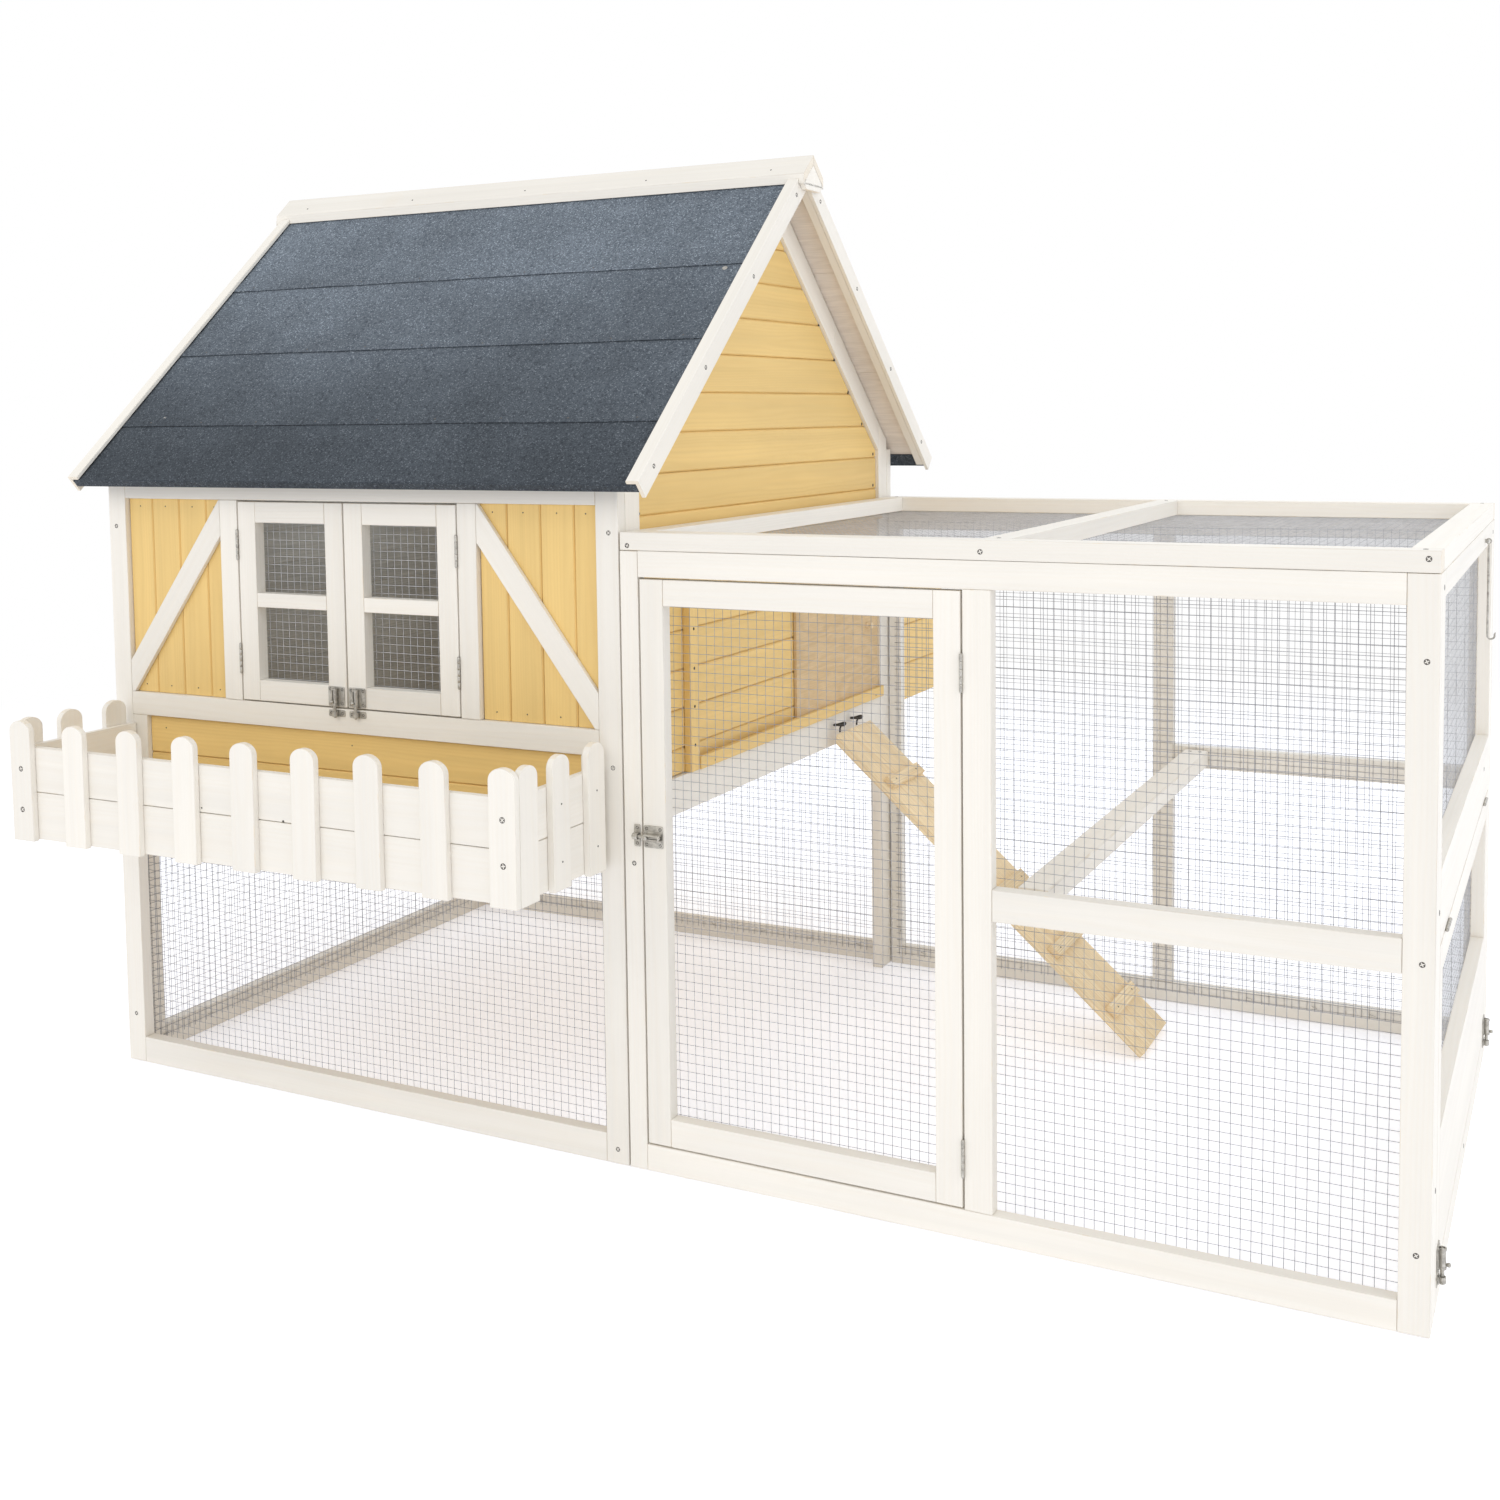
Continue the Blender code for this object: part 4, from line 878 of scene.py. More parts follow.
def side_timbers(name, stands_for, xs, rails, joints=()):
    """Posts, rails (z0, z1) and the sloping trim, which is parted at y joints."""
    with piece(name, [CREAM], "cream_paint", stands_for) as part:
        for y0, y1 in ((INNER_Y0, SIDE_Y0), (SIDE_Y1, INNER_Y1)):
            outline = [(y0, 0.0003), (y1, 0.0003), (y1, roof_line(y1, SIDE_DROP)),
                       (y0, roof_line(y0, SIDE_DROP))]
            board(part, prism(outline, "x", *xs), Z, Y)
        for zs in rails:
            timber(part, xs, (SIDE_Y0, SIDE_Y1), zs, "y")
        seams = (SIDE_Y0, MID_Y, *joints, SIDE_Y1)
        for start, end in zip(seams, seams[1:]):
            slope = -1 if end == MID_Y else 1
            y0 = start if start == SIDE_Y0 else start + HAIR
            y1 = end if end == SIDE_Y1 else end - HAIR
            outline = [(y0, roof_line(y0, SIDE_DROP)), (y1, roof_line(y1, SIDE_DROP)),
                       (y1, roof_line(y1, TRIM_DROP)), (y0, roof_line(y0, TRIM_DROP))]
            board(part, prism(outline, "x", *xs), slope_dir(slope), X)


side_timbers("house_left_timbers", "house_left_frame", (0.0, THICK),
             [(0.0, 0.042), (0.415, 0.460)])
side_timbers("house_right_timbers", "house_right_frame", (HOUSE_W - THICK, HOUSE_W),
             [(0.468, 0.5225)], joints=(0.745,))

SEAM_Z, SEAM_PITCH = 0.5026, 0.0584
GABLE_TOP = roof_line(MID_Y, TRIM_DROP)


def gable_boards(part, face, back, z_low, hole=None):
    """Level boards cut to the roof, round a hole (y0, y1, z0, z1); returns the seam heights."""
    seams = [z_low] + [z for z in (SEAM_Z + SEAM_PITCH * k for k in range(17))
                       if z > z_low + 0.006]
    peak = Vector((0, MID_Y, roof_line(MID_Y, TRIM_DROP + 0.0006)))
    y_low, y_high = SIDE_Y0 + GAP, SIDE_Y1 - GAP
    for z0, z1 in zip(seams, seams[1:]):
        if z0 > GABLE_TOP - 0.004:
            break
        runs = [(y_low, y_high, z0, z1, True)]
        if hole and z1 > hole[2] and z0 < hole[3]:
            runs = [(y_low, hole[0], z0, z1, True), (hole[1], y_high, z0, z1, True)]
            if z0 < hole[2]:
                runs.append((hole[0] + HAIR, hole[1] - HAIR, z0, hole[2], False))
            if z1 > hole[3]:
                runs.append((hole[0] + HAIR, hole[1] - HAIR, hole[3], z1, False))
        for y0, y1, low, high, veed in runs:
            section = vee(face, back, low, high) if veed else [
                (face, low), (face, high), (back, high), (back, low)]
            solid = prism(section, "y", y0, y1)
            for _, slope in SLOPES:
                clip(solid, peak, slope_normal(slope))
            board(part, solid, Y, Z, **CRISP)
    return seams


with piece("siding_left_boards", [YELLOW, SCREW, INSIDE], "yellow_paint",
           "siding_left") as part:
    for z in gable_boards(part, 0.0060, 0.0180, 0.4604)[1:]:
        reach = min(MID_Y - 0.078, (GABLE_TOP - z) / ROOF_TAN - 0.016)
        if reach > 0.01:
            for y in (MID_Y - reach, MID_Y + reach):
                nail(part, (0.0060, y, z + 0.006), -X, 0.0013)
    part.repaint(2, lambda q: q.x > 0.0174)

WALL_X = 0.9540                                 # outer face of the right boards
RAIL_X, LIP_X = 0.9609, 0.9680                  # door rails: inner and outer face of the lip
RAIL_YS = (0.2160, 0.9390)
LOWER_RAIL = [(WALL_X + HAIR, 0.5235), (LIP_X, 0.5235), (LIP_X, 0.5430), (RAIL_X, 0.5430),
              (RAIL_X, 0.5362), (WALL_X + HAIR, 0.5362)]        # (x, z)
UPPER_RAIL = [(WALL_X + HAIR, 0.8626), (RAIL_X, 0.8626), (RAIL_X, 0.8560), (LIP_X, 0.8560),
              (LIP_X, 0.8672), (WALL_X + HAIR, 0.8672)]         # (x, z)
# big nail heads down the rear edge of the right wall, (y, z)
WALL_NAILS = ((0.5671, 1.3196), (0.6319, 1.2624), (0.6914, 1.2050), (0.7550, 1.1467),
              (0.8141, 1.0895), (0.8755, 1.0323), (0.9277, 0.9761), (0.9266, 0.9182),
              (0.9266, 0.8590))

with piece("siding_right_boards", [YELLOW, BLACK, INSIDE], "yellow_paint",
           "siding_right") as part:
    gable_boards(part, WALL_X, WALL_X - 0.012, 0.5230, hole=(0.600, 0.900, 0.5375, 0.8300))
    part.repaint(2, lambda q: q.x < WALL_X - 0.0114)
    for y, z in WALL_NAILS:
        nail(part, (WALL_X, y, z), X, 0.0029)
    for k in range(1, 16):
        z = SEAM_Z + SEAM_PITCH * k + 0.004
        half = (GABLE_TOP - z) / ROOF_TAN
        if half > 0.02 and not 0.53 < z < 0.86:
            nail(part, (WALL_X, MID_Y - min(MID_Y - 0.070, half - 0.010), z), X, 0.0016)
    board(part, prism(LOWER_RAIL, "y", *RAIL_YS), Y, Z, bevel=0.0008)
    board(part, prism(UPPER_RAIL, "y", *RAIL_YS), Y, Z, bevel=0.0006)
    timber(part, (WALL_X + HAIR, 0.9660), (0.1900, 0.2156), (0.5235, 0.8672), "z")
    for z in (0.737, 0.678, 0.621, 0.563):
        nail(part, (0.9660, 0.2020, z), X, 0.0024)
    for y in (0.26, 0.50, 0.72, 0.90):
        nail(part, (LIP_X, y, 0.5300), X, 0.0013)

KNOB = ((0.0, 0.0050), (0.0030, 0.0046), (0.0050, 0.0036), (0.0072, 0.0042), (0.0092, 0.0056),
        (0.0108, 0.0056), (0.0117, 0.0040))     # (distance from the panel, radius)
with piece("pop_door_panel_board", [PLY, PINE], "plywood", "pop_door",
           body="pop_door_panel") as part:
    board(part, box((0.9547, 0.9603), (0.572, 0.928), (0.5368, 0.8620)), Y, Z, **SHEET)
    turned(part, lambda d: (0.9601 + d, 0.877, 0.663), KNOB, 16, 1)

# ------------------------------------------------------------------ house rear and floor
with piece("house_rear_timbers", [CREAM, SCREW], "cream_paint", "house_rear_frame") as part:
    sticks(part, REAR, (
        (0, POST, 0, POST_TOP, "z"),
        (HOUSE_W - POST, HOUSE_W, 0, POST_TOP, "z"),
        (RAIL_X0, RAIL_X1, 0, 0.036, "x"),
        (RAIL_X0, RAIL_X1, 0.415, 0.460, "x")))
    timber(part, (RAIL_X0, RAIL_X1), (DEPTH - THICK, DEPTH - 0.0030), (0.4603, 0.4896), "x")
    seams = (0.812, 0.8690, 0.9265, POST_TOP)
    sticks(part, REAR, [(RAIL_X0, RAIL_X1, z0, z1 - HAIR, "x")
                        for z0, z1 in zip(seams, seams[1:])])
    for z in (0.84, 0.90, 0.955):
        for x in (0.018, 0.942):
            screw(part, (x, DEPTH, z), Y, 0.0030)

with piece("house_floor_board", [PLY], "plywood", "house_floor") as part:
    board(part, box((0.0208, HOUSE_W - THICK - 0.0008), (THICK + 0.0024, DEPTH - 0.0230),
                    (0.4700, 0.4790)), X, Y, step=0.2, **SHEET)

# ------------------------------------------------------------------ nest box behind the house
NEST_X0, NEST_X1, NEST_Y0, NEST_Y1, NEST_Z0 = 0.010, 0.950, DEPTH + GAP, DEPTH + 0.300, 0.4900
NEST_T = 0.012                                  # board thickness
NEST_IN_X0, NEST_IN_X1 = NEST_X0 + NEST_T + GAP, NEST_X1 - NEST_T - GAP
NEST_IN_Y1 = NEST_Y1 - NEST_T - GAP
NEST_POST_Y = 1.0580                            # rear edge of the cream uprights at the wall
LID_TAN = (0.8050 - 0.7150) / (NEST_Y1 - NEST_Y0)


def nest_top(y):
    return 0.8050 - LID_TAN * (y - NEST_Y0)


with piece("nest_box_boards", [YELLOW, CREAM, PINE, SCREW, INSIDE], "yellow_paint",
           "nest_box") as part:
    for face, into in ((NEST_X0, 1), (NEST_X1, -1)):
        back = face + into * NEST_T
        outline = [(NEST_Y0, NEST_Z0), (NEST_POST_Y, NEST_Z0),
                   (NEST_POST_Y, nest_top(NEST_POST_Y)), (NEST_Y0, nest_top(NEST_Y0))]
        board(part, prism(outline, "x", *sorted((face, back))), Z, Y, mat=1)
        seams = (NEST_Z0, 0.5610, 0.6380, 0.7150, 0.7920)
        for z0, z1 in zip(seams, seams[1:]):
            solid = prism(vee(face, back, z0, z1), "y", NEST_POST_Y + GAP, NEST_Y1)
            clip(solid, Vector((0, NEST_Y0, nest_top(NEST_Y0))),
                 Vector((0, LID_TAN, 1.0)).normalized())
            board(part, solid, Y, Z, **CRISP)
            if z0 < 0.7:
                for y in (1.030, NEST_Y1 - 0.006):
                    nail(part, (face, y, (z0 + z1) / 2), X * -into, mat=3)
    seams = (NEST_Z0, 0.5650, 0.6400, 0.7140)
    for z0, z1 in zip(seams, seams[1:]):
        board(part, prism(vee(NEST_Y1, NEST_Y1 - NEST_T, z0, z1), "x", NEST_IN_X0, NEST_IN_X1),
              X, Z, **CRISP)
        for x in (NEST_X0 + 0.03, 0.325, 0.635, NEST_X1 - 0.03):
            nail(part, (x, NEST_Y1, (z0 + z1) / 2), Y, mat=3)
    timber(part, (NEST_IN_X0, NEST_IN_X1), (NEST_Y0, NEST_IN_Y1), (0.4902, 0.5018), "x", mat=2)
    for x in (0.3193, 0.6287):                  # partitions
        outline = [(NEST_Y0, 0.5022), (NEST_IN_Y1, 0.5022), (NEST_IN_Y1, nest_top(NEST_IN_Y1)),
                   (NEST_Y0, nest_top(NEST_Y0))]
        board(part, prism(outline, "x", x, x + NEST_T), Y, Z, mat=2)
    part.repaint(4, lambda q: (NEST_X0 + 0.0114 < q.x < NEST_X1 - 0.0114
                               and q.y < NEST_Y1 - 0.0114))


def lid_low(y):
    """Underside of the nest box lid."""
    return nest_top(y) + 0.0012


lid_y0, lid_y1 = NEST_Y0 + 0.0030, NEST_Y1 + 0.0205
LID_BOARD = ((lid_y0, 0.0), (lid_y1, 0.0), (lid_y1, 0.0105), (lid_y0, 0.0105))
# felt over the board, dressed round its rear edge; both outlines are (y, height over underside)
LID_FELT = ((lid_y0, 0.0107), (lid_y0, 0.0138), (lid_y1 + 0.0002, 0.0138),
            (lid_y1 + 0.0014, 0.0126), (lid_y1 + 0.0015, -0.0008), (lid_y1 - 0.0130, -0.0010),
            (lid_y1 - 0.0130, -0.0002), (lid_y1 + 0.0002, -0.0001), (lid_y1 + 0.0002, 0.0107))
with piece("nest_box_lid_layers", [SOFFIT, FELT, SCREW], "roof_felt", "nest_box_lid",
           body="nest_box_lid_board") as part:
    board(part, prism([(y, lid_low(y) + h) for y, h in LID_BOARD], "x", NEST_X0 - 0.0095,
                      NEST_X1 + 0.0055), X, Y, **SHEET)
    board(part, prism([(y, lid_low(y) + h) for y, h in LID_FELT], "x", NEST_X0 - 0.0100,
                      NEST_X1 + 0.0060), X, Y, mat=1, wobble=0.0003, step=0.04, **CRISP)

# ------------------------------------------------------------------ roof
PEAK_HALF = 0.0370                              # half width of the ridge cap
LAP = FELT_DROP - 0.0003                        # underside of the barge lip
FELT_BASE = FELT_DROP + 0.0033
FELT_T = 0.0016
FELT_TOP = FELT_BASE - FELT_T


def slope_point(side, s, drop):
    """(y, z) at distance s up the slope from the square cut of the eave."""
    y = MID_Y + side * (HALF_SPAN - s * ROOF_COS)
    return (y - side * drop * ROOF_SIN,
            RIDGE_Z - ROOF_TAN * abs(y - MID_Y) - drop * ROOF_COS)


def slope_prism(side, top, bottom, x0, x1, start, end=None):
    """A layer of the slope between two drops; without an end it runs to the ridge."""
    if end is None:
        y = MID_Y + side * 0.0008
        far = [(y, roof_line(y, bottom)), (y, roof_line(y, top))]
    else:
        far = [slope_point(side, end, bottom), slope_point(side, end, top)]
    near = [slope_point(side, start, top), slope_point(side, start, bottom)]
    return prism(near + far, "x", x0, x1)


def felt_strip(part, side, start, end, laps, seed):
    """A rippled closed sheet; if it laps, its lower edge rides on the strip below."""
    cols, rows = 60, 14
    normal = slope_normal(side)
    verts, faces, grain = [], [], []
    for layer in (0, 1):
        for i in range(cols + 1):
            x = FELT_X0 + (FELT_X1 - FELT_X0) * i / cols
            wave = (noise.noise(Vector((x * 5.0, seed, 0.3))) * 0.0016
                    + noise.noise(Vector((x * 17.0, seed, 4.0))) * 0.0006)
            for j in range(rows + 1):
                q = (j / rows) ** 1.7
                s = start + (end - start) * q
                lift = 0.0
                if laps:
                    s += wave * (1.0 - q)
                    settle = min(1.0, max(0.0, (s - start - 0.014) / 0.020))
                    lift = FELT_T * 0.95 * (1.0 - settle)
                ripple = noise.noise(Vector((x * 6.0, s * 9.0, seed))) * 0.00028
                curl = (0.0004 * max(0.0, 1.0 - (s - start) / 0.010)
                        * (0.5 + noise.noise(Vector((x * 9.0, seed, 7.0)))))
                p = Vector((x, *slope_point(side, s, FELT_BASE)))
                verts.append(p + normal * (lift + ripple + curl + FELT_T * layer))
                grain.append((x + seed, s, 0.0))

    def at(layer, i, j):
        return (layer * (cols + 1) + i) * (rows + 1) + j

    front = side < 0
    for i in range(cols):
        for j in range(rows):
            for layer in (1, 0):
                quad = (at(layer, i, j), at(layer, i + 1, j), at(layer, i + 1, j + 1),
                        at(layer, i, j + 1))
                faces.append(quad if (layer == 1) == front else quad[::-1])
    first = part.add(verts, faces, grain)
    rim = []
    for i in range(cols):
        rim.append((at(0, i, 0), at(0, i + 1, 0), at(1, i + 1, 0), at(1, i, 0)))
        rim.append((at(1, i, rows), at(1, i + 1, rows), at(0, i + 1, rows), at(0, i, rows)))
    for j in range(rows):
        rim.append((at(1, 0, j), at(1, 0, j + 1), at(0, 0, j + 1), at(0, 0, j)))
        rim.append((at(0, cols, j), at(0, cols, j + 1), at(1, cols, j + 1), at(1, cols, j)))
    for quad in rim:
        quad = [k + first for k in quad]
        part.add_face(quad if front else quad[::-1], 0, edge=1.0, smooth=False)


def roof_deck(tag, side):
    with piece("roof_deck_" + tag, [SOFFIT, CREAM], "roof_felt") as part:
        for start, end in ((0.0030, 0.262 - GAP), (0.262, 0.510 - GAP), (0.510, None)):
            board(part, slope_prism(side, FELT_BASE + 0.0002, UNDERSIDE - 0.0004,
                                    FELT_X0 + GAP, FELT_X1 - GAP, start, end),
                  X, slope_dir(side), bevel=0.0005, segments=1)
        # battens under the deck behind the barges
        for x0, x1 in ((FELT_X0 + HAIR, FELT_X0 + 0.0140), (FELT_X1 - 0.0140, FELT_X1 - HAIR)):
            board(part, slope_prism(side, UNDERSIDE - 0.0004, BARGE_DROP - 0.0006, x0, x1,
                                    0.0140), slope_dir(side), X, bevel=0.0008, mat=1)


# strips of felt: start and end up the slope, whether it laps the one below
FELT_STRIPS = ((0.0015, 0.142, False), (0.1265, 0.320, True), (0.3045, 0.497, True),
               (0.4815, SLOPE - 0.0040, True))
# the lowest strip dressed round the eave and up under the deck: (drop, distance up the slope)
EAVE_FELT = ((FELT_TOP, 0.0040), (FELT_TOP + 0.0001, 0.0012), (FELT_TOP + 0.0010, 0.0004),
             (UNDERSIDE - 0.0002, 0.0004), (UNDERSIDE + 0.0008, 0.0012),
             (UNDERSIDE + 0.0009, 0.0340), (UNDERSIDE - 0.0003, 0.0340),
             (UNDERSIDE - 0.0003, 0.0024), (FELT_BASE + 0.0001, 0.0024), (FELT_BASE, 0.0040))
FELT_SCREWS = {-1: ((0.065, 0.062), (0.972, 0.307)), 1: ((0.10, 0.90), (0.90, 0.70))}   # (x, y)


def roof_felt(tag, side):
    with piece("roof_felt_" + tag, [FELT, SCREW, ZINC], "roof_felt", "roof_" + tag) as part:
        for k, (start, end, laps) in enumerate(FELT_STRIPS):
            felt_strip(part, side, start, end, laps, seed=3.7 * k + (11.0 if side > 0 else 0.0))
        section = [slope_point(side, s, drop) for drop, s in EAVE_FELT]
        solid = prism(section, "x", FELT_X0 + 0.0002, FELT_X1 - 0.0002)
        for i in range(1, 40):
            cut(solid, (FELT_X0 + (FELT_X1 - FELT_X0) * i / 40, 0, 0), X)
        part.add_solid(solid, X, Y, tint=0.5, wobble=0.0005)
        normal = slope_normal(side)

        def on_felt(x, y, lift):
            return Vector((x, y, roof_line(y, FELT_TOP))) + normal * lift

        for x, y in FELT_SCREWS[side]:
            screw(part, on_felt(x, y, 0.0008), normal, 0.0042, mat=2)
        for s in (0.1335, 0.3115, 0.4885):      # clout nails along the laps
            for i in range(9):
                x = FELT_X0 + 0.06 + (FELT_X1 - FELT_X0 - 0.12) * i / 8
                x += rnd.uniform(-0.012, 0.012)
                y = slope_point(side, s + rnd.uniform(-0.0015, 0.002), FELT_BASE)[0]
                nail(part, on_felt(x, y, 0.0014), normal, 0.0016)


for tag, side in SLOPES:
    roof_deck(tag, side)
    roof_felt(tag, side)

# L section of a barge: (inwards from the outer face, drop), with a rounded outer arris
ROUND = 0.0018
BARGE = [(0.0, BARGE_DROP), (0.0, ROUND)]
BARGE += [(ROUND - ROUND * math.cos(a), ROUND - ROUND * math.sin(a))
          for a in (math.pi / 8, math.pi / 4, 3 * math.pi / 8)]
BARGE += [(ROUND, 0.0), (BARGE_LIP - 0.0012, 0.0), (BARGE_LIP, 0.0012), (BARGE_LIP, LAP),
          (BARGE_T, LAP), (BARGE_T, BARGE_DROP)]
BARGE_SCREW_Y = {-1: (0.4550, 0.3000, 0.1435, -0.0090), 1: (0.5460, 0.6945, 0.8450, 0.9955)}


def barge(name, side, face, out):
    """One leg lies over the felt and one down the end of the roof; out is its x direction."""
    with piece("barge_" + name + "_moulding", [CREAM, SCREW], "cream_paint",
               "barge_" + name) as part:
        y_cap = MID_Y + side * (PEAK_HALF + GAP)
        y_ridge = MID_Y + side * 0.0003
        rings = []
        for s in (0.0, SLOPE + 0.05):
            run = HALF_SPAN - s * ROOF_COS
            rings.append([(face - out * w, MID_Y + side * run - side * drop * ROOF_SIN,
                           RIDGE_Z - ROOF_TAN * run - drop * ROOF_COS) for w, drop in BARGE])
        solid = loft(rings)
        peak = solid.copy()
        clip(solid, Vector((0, y_cap, 0)), -side * Y)
        board(part, solid, slope_dir(side), X, bevel=0.0007, angle=0.7)
        # the face runs on under the ridge cap to a plumb joint
        clip(peak, Vector((0, y_cap, 0)), side * Y)
        clip(peak, Vector((0, y_ridge, 0)), -side * Y)
        clip(peak, Vector((0, MID_Y, roof_line(MID_Y, FELT_DROP + 0.0002))), slope_normal(side))
        board(part, peak, slope_dir(side), X, bevel=0.0, step=0)
        for y in BARGE_SCREW_Y[side]:
            screw(part, (face, y, roof_line(y, 0.0150)), out * X)


for end, face, out in (("right", ROOF_X1, 1), ("left", ROOF_X0, -1)):
    for tag, side in SLOPES:
        barge(end + "_" + tag, side, face, out)

CAP_X0, CAP_X1, CAP_TOP = -0.0445, 1.0335, -0.0055
with piece("ridge_cap_boards", [CREAM, SCREW], "cream_paint", "ridge_cap") as part:
    for _, side in SLOPES:
        y0, y1 = MID_Y + side * 0.0001, MID_Y + side * PEAK_HALF
        section = [(y0, roof_line(y0, CAP_TOP)), (y1, roof_line(y1, CAP_TOP)),
                   (y1, roof_line(y1, LAP)), (y0, roof_line(y0, LAP))]
        board(part, prism(section, "x", CAP_X0, CAP_X1), X, slope_dir(side), bevel=0.0010)
        for x in (0.02, 0.26, 0.50, 0.74, 0.97):
            y = MID_Y + side * 0.025
            nail(part, (x, y, roof_line(y, CAP_TOP)), slope_normal(side), 0.0014)
    # five-sided plates under the ends of the cap
    half = PEAK_HALF - 0.0004
    plate_z = roof_line(MID_Y - half, LAP + 0.0003)
    outline = [(MID_Y, roof_line(MID_Y, LAP + 0.0003)), (MID_Y - half, plate_z),
               (MID_Y - half, 1.4190), (MID_Y - 0.0270, 1.4060), (MID_Y + 0.0270, 1.4060),
               (MID_Y + half, 1.4190), (MID_Y + half, plate_z)]
    for x0, x1 in ((ROOF_X1 + GAP, CAP_X1 - 0.0003), (CAP_X0 + 0.0003, ROOF_X0 - GAP)):
        board(part, prism(outline, "x", x0, x1), Z, Y, bevel=0.0010)

# ------------------------------------------------------------------ planter on the front
PLANT_X0, PLANT_X1, PLANT_Y = 0.022, 0.938, -0.228
PLANT_Z0, PLANT_Z1 = 0.424, 0.607
PICKET_W, PICKET_T, PICKETS = 0.042, 0.0100, 9
BACKING_IN = 0.0220                             # inner face of the boards behind the pickets
BACKING_ZS = ((PLANT_Z0 + 0.002, 0.4978), (0.4986, 0.566))


def picket(centre, top, start, end, axis):
    """A round-topped upright, extruded along the axis from start to end."""
    half = PICKET_W / 2
    rise = half * 0.80
    points = [(centre - half, PLANT_Z0), (centre + half, PLANT_Z0)]
    for n in range(19):
        a = math.pi * n / 18
        points.append((centre + half * math.cos(a), top - rise + rise * math.sin(a)))
    return prism(points, axis, start, end)


with piece("planter_front_boards", [CREAM, SCREW], "cream_paint", "planter_front") as part:
    for zs in BACKING_ZS:
        timber(part, (PLANT_X0 + 0.0104, PLANT_X1 - 0.0104),
               (PLANT_Y + 0.0102, PLANT_Y + BACKING_IN), zs, "x", wobble=0.0004)
    pitch = (PLANT_X1 - PLANT_X0 - PICKET_W) / (PICKETS - 1)
    for n in range(PICKETS):
        tilt = rnd.uniform(-0.0012, 0.0012)
        solid = picket(PLANT_X0 + PICKET_W / 2 + n * pitch,
                       PLANT_Z1 + rnd.uniform(-0.0012, 0.0004), PLANT_Y, PLANT_Y + PICKET_T, "y")
        for v in solid.verts:
            v.co.x += tilt * (v.co.z - 0.5) / 0.1
        board(part, solid, Z, X, bevel=0.0010)
    for x, zs in ((PLANT_X0 + PICKET_W / 2, (0.534, 0.472)),
                  (PLANT_X1 - PICKET_W / 2 + 0.001, (0.540, 0.480))):
        for z in zs:
            screw(part, (x, PLANT_Y, z), -Y, 0.0042)
    nail(part, (0.545, PLANT_Y + 0.0101, 0.500), -Y, 0.0018)
    nail(part, (0.395, PLANT_Y + 0.0101, 0.505), -Y, 0.0012)

for side, face, out in (("left", PLANT_X0, -1), ("right", PLANT_X1, 1)):
    with piece("planter_" + side + "_boards", [CREAM, SCREW], "cream_paint",
               "planter_" + side) as part:
        xs = sorted((face - out * 0.0102, face - out * BACKING_IN))
        for zs in BACKING_ZS:
            timber(part, xs, (PLANT_Y + 0.0224, -0.0006), zs, "y")
        xs = sorted((face, face - out * PICKET_T))
        for y in (PLANT_Y + 0.0106, -0.1410, -0.0520):
            board(part, picket(y + PICKET_W / 2, PLANT_Z1 - 0.0006, *xs, "x"), Z, Y,
                  bevel=0.0010)
        for y in (-0.120, -0.031):
            for z in (0.462, 0.540):
                nail(part, (face, y, z), out * X, 0.0014)

with piece("planter_floor_boards", [CREAM], "cream_paint", "planter_floor") as part:
    for ys in ((PLANT_Y + 0.0226, -0.1400), (-0.1380, -0.0700), (-0.0680, -0.0010)):
        timber(part, (PLANT_X0 + 0.0226, PLANT_X1 - 0.0226), ys,
               (PLANT_Z0 + 0.004, PLANT_Z0 + 0.013), "x")

# ------------------------------------------------------------------ run panels
RUN_X0 = HOUSE_W + 0.0024
DOOR_POST_X = 1.4563                            # hinge post of the run door, door side
END_RAIL_Z = 0.4375                             # underside of the rail over the end flap

with piece("run_front_timbers", [CREAM], "cream_paint", "run_front_frame") as part:
    sticks(part, FRONT, (
        (RUN_X0, 0.990, 0, RUN_H, "z"),
        (1.9747, LENGTH, 0, RUN_H, "z"),
        (0.990, 1.9747, 0, 0.0376, "x"),
        (0.990, 1.9747, 0.833, RUN_H, "x"),
        (DOOR_POST_X, 1.4936, 0.0376, 0.833, "z"),
        (1.4936, 1.9747, 0.416, 0.457, "x")))
with piece("run_rear_timbers", [CREAM], "cream_paint", "run_rear_frame") as part:
    sticks(part, REAR, (
        (RUN_X0, 0.9855, 0, RUN_H, "z"),
        (1.975, LENGTH, 0, RUN_H, "z"),
        (0.9855, 1.975, 0, 0.036, "x"),
        (0.9855, 1.975, 0.834, RUN_H, "x"),
        (1.463, 1.498, 0.036, 0.834, "z"),
        (1.498, 1.975, 0.425, 0.462, "x")))
with piece("run_end_timbers", [CREAM], "cream_paint", "run_end_frame") as part:
    sticks(part, END, (
        (INNER_Y0, SIDE_Y0, 0, RUN_H, "z"),
        (SIDE_Y1, INNER_Y1, 0, RUN_H, "z"),
        (SIDE_Y0, SIDE_Y1, 0, 0.0376, "y"),
        (SIDE_Y0, SIDE_Y1, END_RAIL_Z, 0.525, "y"),
        (SIDE_Y0, SIDE_Y1, 0.838, RUN_H, "y")))
RUN_TOP = RUN_H + GAP + 0.0250
with piece("run_roof_timbers", [CREAM], "cream_paint", "run_roof_frame") as part:
    zs = (RUN_H + GAP, RUN_TOP)
    for ys in ((0, 0.035), (DEPTH - 0.035, DEPTH)):
        timber(part, (RUN_X0, LENGTH), ys, zs, "x")
    for xs in ((RUN_X0, 0.9975), (1.4725, 1.5075), (1.975, LENGTH)):
        timber(part, xs, (0.035, DEPTH - 0.035), zs, "y")
